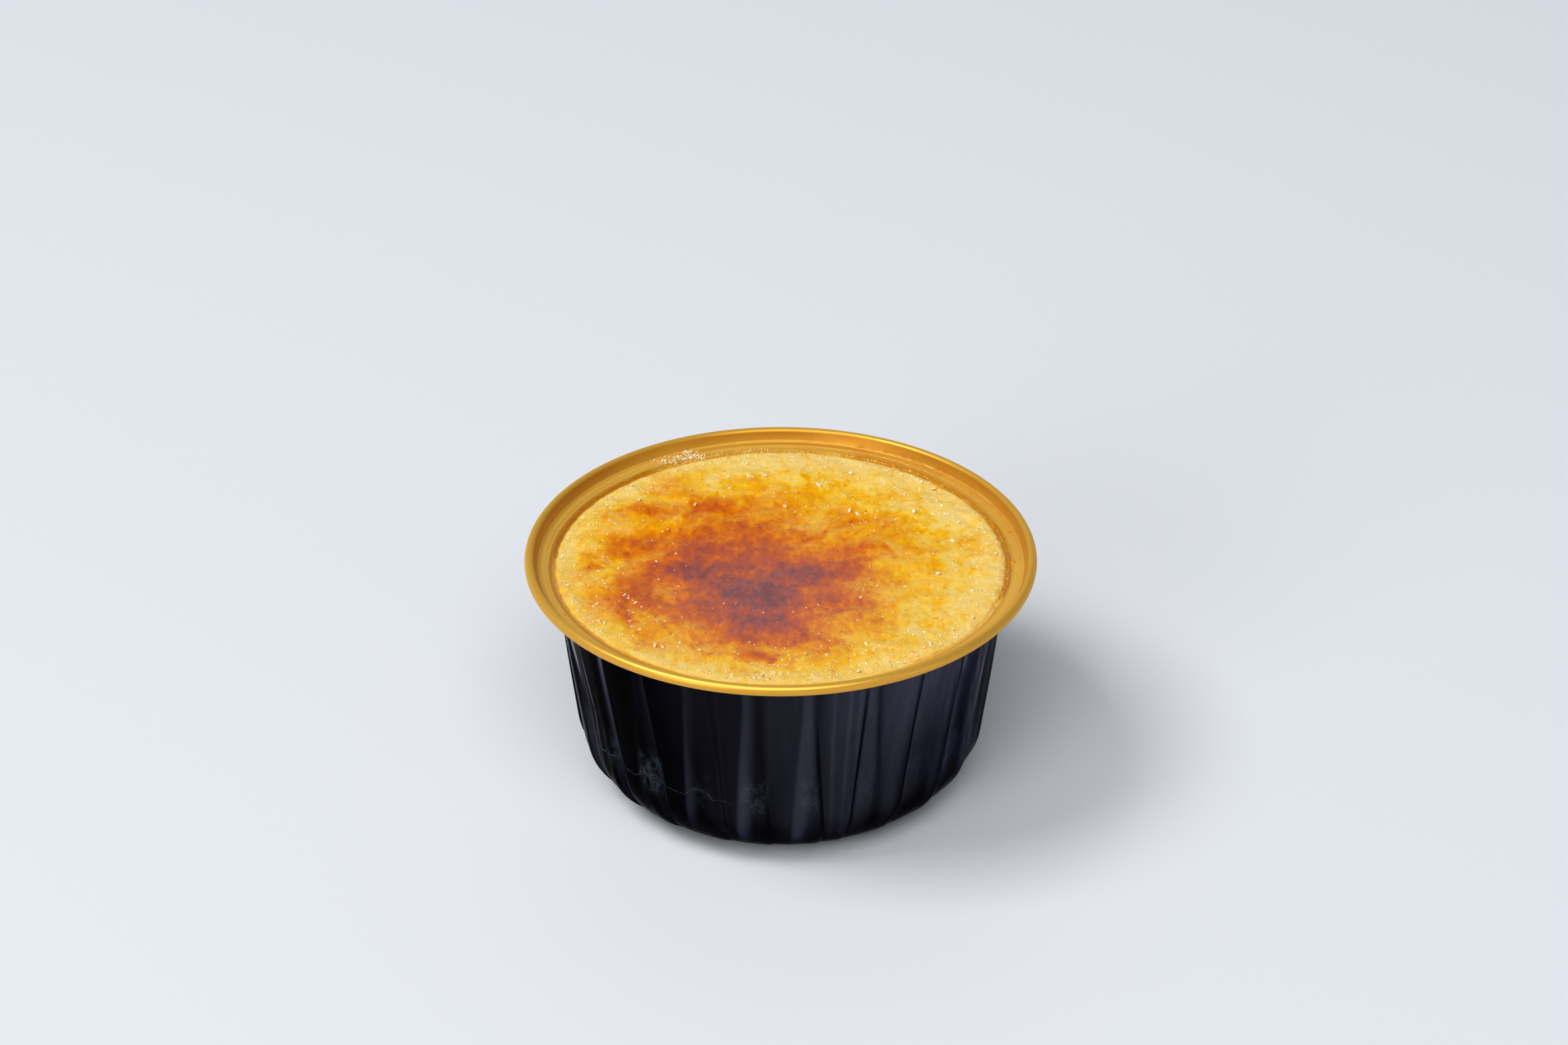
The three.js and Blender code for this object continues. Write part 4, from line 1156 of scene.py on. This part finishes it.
def custard_material():
    crust = material("custard")
    burnt = crust.value("burn")
    patches = crust.noise((3.8, 6, 1), 3, 0.5, 0.6)
    mottle = crust.noise((1.6, 2.7, 1), 4, 0.58, 0.5)
    dashes = crust.noise((1.1, 1.2, 1), 1, heading=CRUST_FLOW)
    swells = crust.noise((3.8, 4.6, 1), 3, 0.55, 0.5)
    where = crust.noise((9, 7, 1), 2)
    fine = crust.noise((0.45, 0.4, 1), 2, heading=CRUST_FLOW)
    froth = crust.noise((0.45, 0.45, 1), 3, 0.6)
    outwards = crust.math("DIVIDE", crust.value("from_middle"), CUSTARD_RADIUS)
    edge = crust.ramp(outwards, FROTH_SPREAD)
    spread = crust.scaled(crust.math("POWER", burnt, 1.5), 1.05, 0.32)
    mottled = crust.varied(mottle, 0.5, spread, burnt)
    patched = crust.varied(patches, 0.48, 0.45, mottled)
    dashed = crust.scaled(crust.ramp(dashes, [(0.58, 0.0), (0.75, 1.0)]), 0.14, patched)
    total = crust.varied(fine, 0.5, 0.06, dashed)
    ridges = crust.ramp(swells, [(0.36, 0.0), (0.47, 1.0), (0.49, 1.0), (0.6, 0.0)])
    drawn = crust.times(ridges, crust.ramp(where, [(0.42, 0.0), (0.6, 0.5)]))
    pale = crust.times(drawn, crust.ramp(burnt, [(0.25, 1.0), (0.5, 0.0)]))
    dots = crust.ramp(crust.noise((0.26, 0.26, 1), 1), [(0.57, 0.0), (0.67, 0.5)])
    frothy = crust.times(crust.ramp(outwards, DOT_SPREAD), crust.ramp(where, [(0.38, 0.25), (0.6, 1.0)]))
    dotted = crust.times(dots, frothy)
    foam = crust.times(edge, crust.ramp(froth, [(0.35, 0.25), (0.65, 1.0)]))
    middle = crust.value("middle")
    # In the middle the crust takes colours that are partly painted sheen, with a cloud of painted sheen and cloudy
    # sugar on top.
    clear = crust.blend(middle, crust.ramp(total, MARK_COLOURS), crust.ramp(total, BURN_AND_SHEEN_COLOURS))
    sheened_glaze = crust.blend(crust.times(middle, CLOUD_AND_SHEEN_SHARE), clear, CLOUD_AND_SHEEN_COLOUR)
    browned = crust.blend(pale, sheened_glaze, RIDGE_COLOUR)
    soft = crust.scaled(dashes, -0.3, crust.scaled(mottle, -0.4, swells))
    bubbly = crust.times(froth, edge)
    crust.shade(
        Base_Color=crust.blend(dotted, crust.blend(foam, browned, FROTH_COLOUR), DOT_COLOUR),
        Roughness=crust.ramp(fine, [(0.3, 0.1), (0.7, 0.22)]),
        IOR=1.33,
        Specular_IOR_Level=0.07,
        Subsurface_Weight=0.2,
        Subsurface_Radius=(1.0, 0.45, 0.15),
        Subsurface_Scale=0.4 * MM,
        Normal=crust.bump(bubbly, 0.14, crust.bump(fine, 0.035, crust.bump(soft, 0.3))),
    )
    return crust.made


# Stage ----------

FLOOR_REACH = 4000
PAPER_COLOUR = (0.79, 0.82, 0.865, 1)
ROOM_COLOUR = (0.84, 0.9, 1.0, 1)
ROOM_TO_BACK = [(0.05, 0.32), (0.45, 0.15), (0.8, 0.35), (0.97, 0.65)]  # its light from the front to the back
ROOM_UPWARDS = [(0.3, 1.0), (0.5, 0.2)]  # and from the horizon up
# Square lights: name, direction from the cup, distance and side in metres, and watts.
LIGHTS = [
    ("key", (-26, -7.5, 40.7), 3.0, 1.25, 48.5),
    ("front", (0, -0.75, 1), 3.6, 2.5, 73),
    ("low_front", (-0.75, -1, 0.42), 3.6, 1.6, 30),
    ("back", (-0.1, 0.8, 1), 1.6, 0.9, 0.9),
    ("low_fill", (0.85, -0.6, 0.08), 1.2, 0.3, 0.8),
]


def floor():
    corners = [(FLOOR_REACH * x, FLOOR_REACH * y, 0) for x, y in ((-1, -1), (1, -1), (1, 1), (-1, 1))]
    paper = material("paper")
    paper.shade(Base_Color=PAPER_COLOUR, Roughness=0.7)
    sheet = mesh_object("floor", corners, [(0, 1, 2, 3)], [paper.made], smooth=False)


def softbox(name, direction, distance, size, power):
    """A square light that faces the cup's rim."""
    light = bpy.data.lights.new(name, "AREA")
    light.shape = "SQUARE"
    light.size = size
    light.energy = power
    lamp = bpy.data.objects.new(name, light)
    bpy.context.scene.collection.objects.link(lamp)
    aim = Vector(direction).normalized()
    lamp.location = aim * distance + Vector((0, 0, RIM_MIDDLE_HEIGHT * MM))
    lamp.rotation_euler = aim.to_track_quat("Z", "Y").to_euler()


def surroundings():
    """A dim room with a bright wall far behind the object, low above the horizon."""
    room = Nodes(bpy.data.worlds.new("surroundings"), "Background")
    direction = room.node("ShaderNodeTexCoord", {}).outputs["Generated"]
    parts = room.node("ShaderNodeSeparateXYZ", {"Vector": direction}).outputs
    towards_back = room.ramp(room.scaled(parts["Y"], 0.5, 0.5), ROOM_TO_BACK)
    inputs = {"Factor": 1.0, 6: room.times(towards_back, room.ramp(parts["Z"], ROOM_UPWARDS)), 7: ROOM_COLOUR}
    tint = room.node("ShaderNodeMix", inputs, data_type="RGBA", blend_type="MULTIPLY")
    room.shade(Color=tint.outputs[2], Strength=1.0)
    bpy.context.scene.world = room.made


def studio():
    surroundings()
    for light in LIGHTS:
        softbox(*light)


def camera():
    lens = bpy.data.cameras.new("camera")
    lens.sensor_width = SENSOR_WIDTH
    lens.lens = FOCAL_LENGTH_PX / PICTURE[0] * lens.sensor_width
    seen_from = bpy.data.objects.new("camera", lens)
    bpy.context.scene.collection.objects.link(seen_from)
    e = CAMERA_ELEVATION
    away = Vector((0, -math.cos(e), math.sin(e)))
    seen_from.location = (away * CAMERA_DISTANCE + Vector((0, 0, RIM_MIDDLE_HEIGHT))) * MM
    right = Vector((1, 0, 0))
    up = Vector((0, math.sin(e), math.cos(e)))
    ahead = -away - right * RIM_MIDDLE_SEEN[0] / FOCAL_LENGTH_PX + up * RIM_MIDDLE_SEEN[1] / FOCAL_LENGTH_PX
    seen_from.rotation_euler = ahead.to_track_quat("-Z", "Y").to_euler()
    bpy.context.scene.camera = seen_from


# Everything ----------

bpy.context.scene.view_settings.view_transform = "Standard"
camera()
floor()
studio()
cup_foil()
rub_lines()
custard()
caramel_ring()
caramel_drops()
sugar_crystals()
burnt_specks()
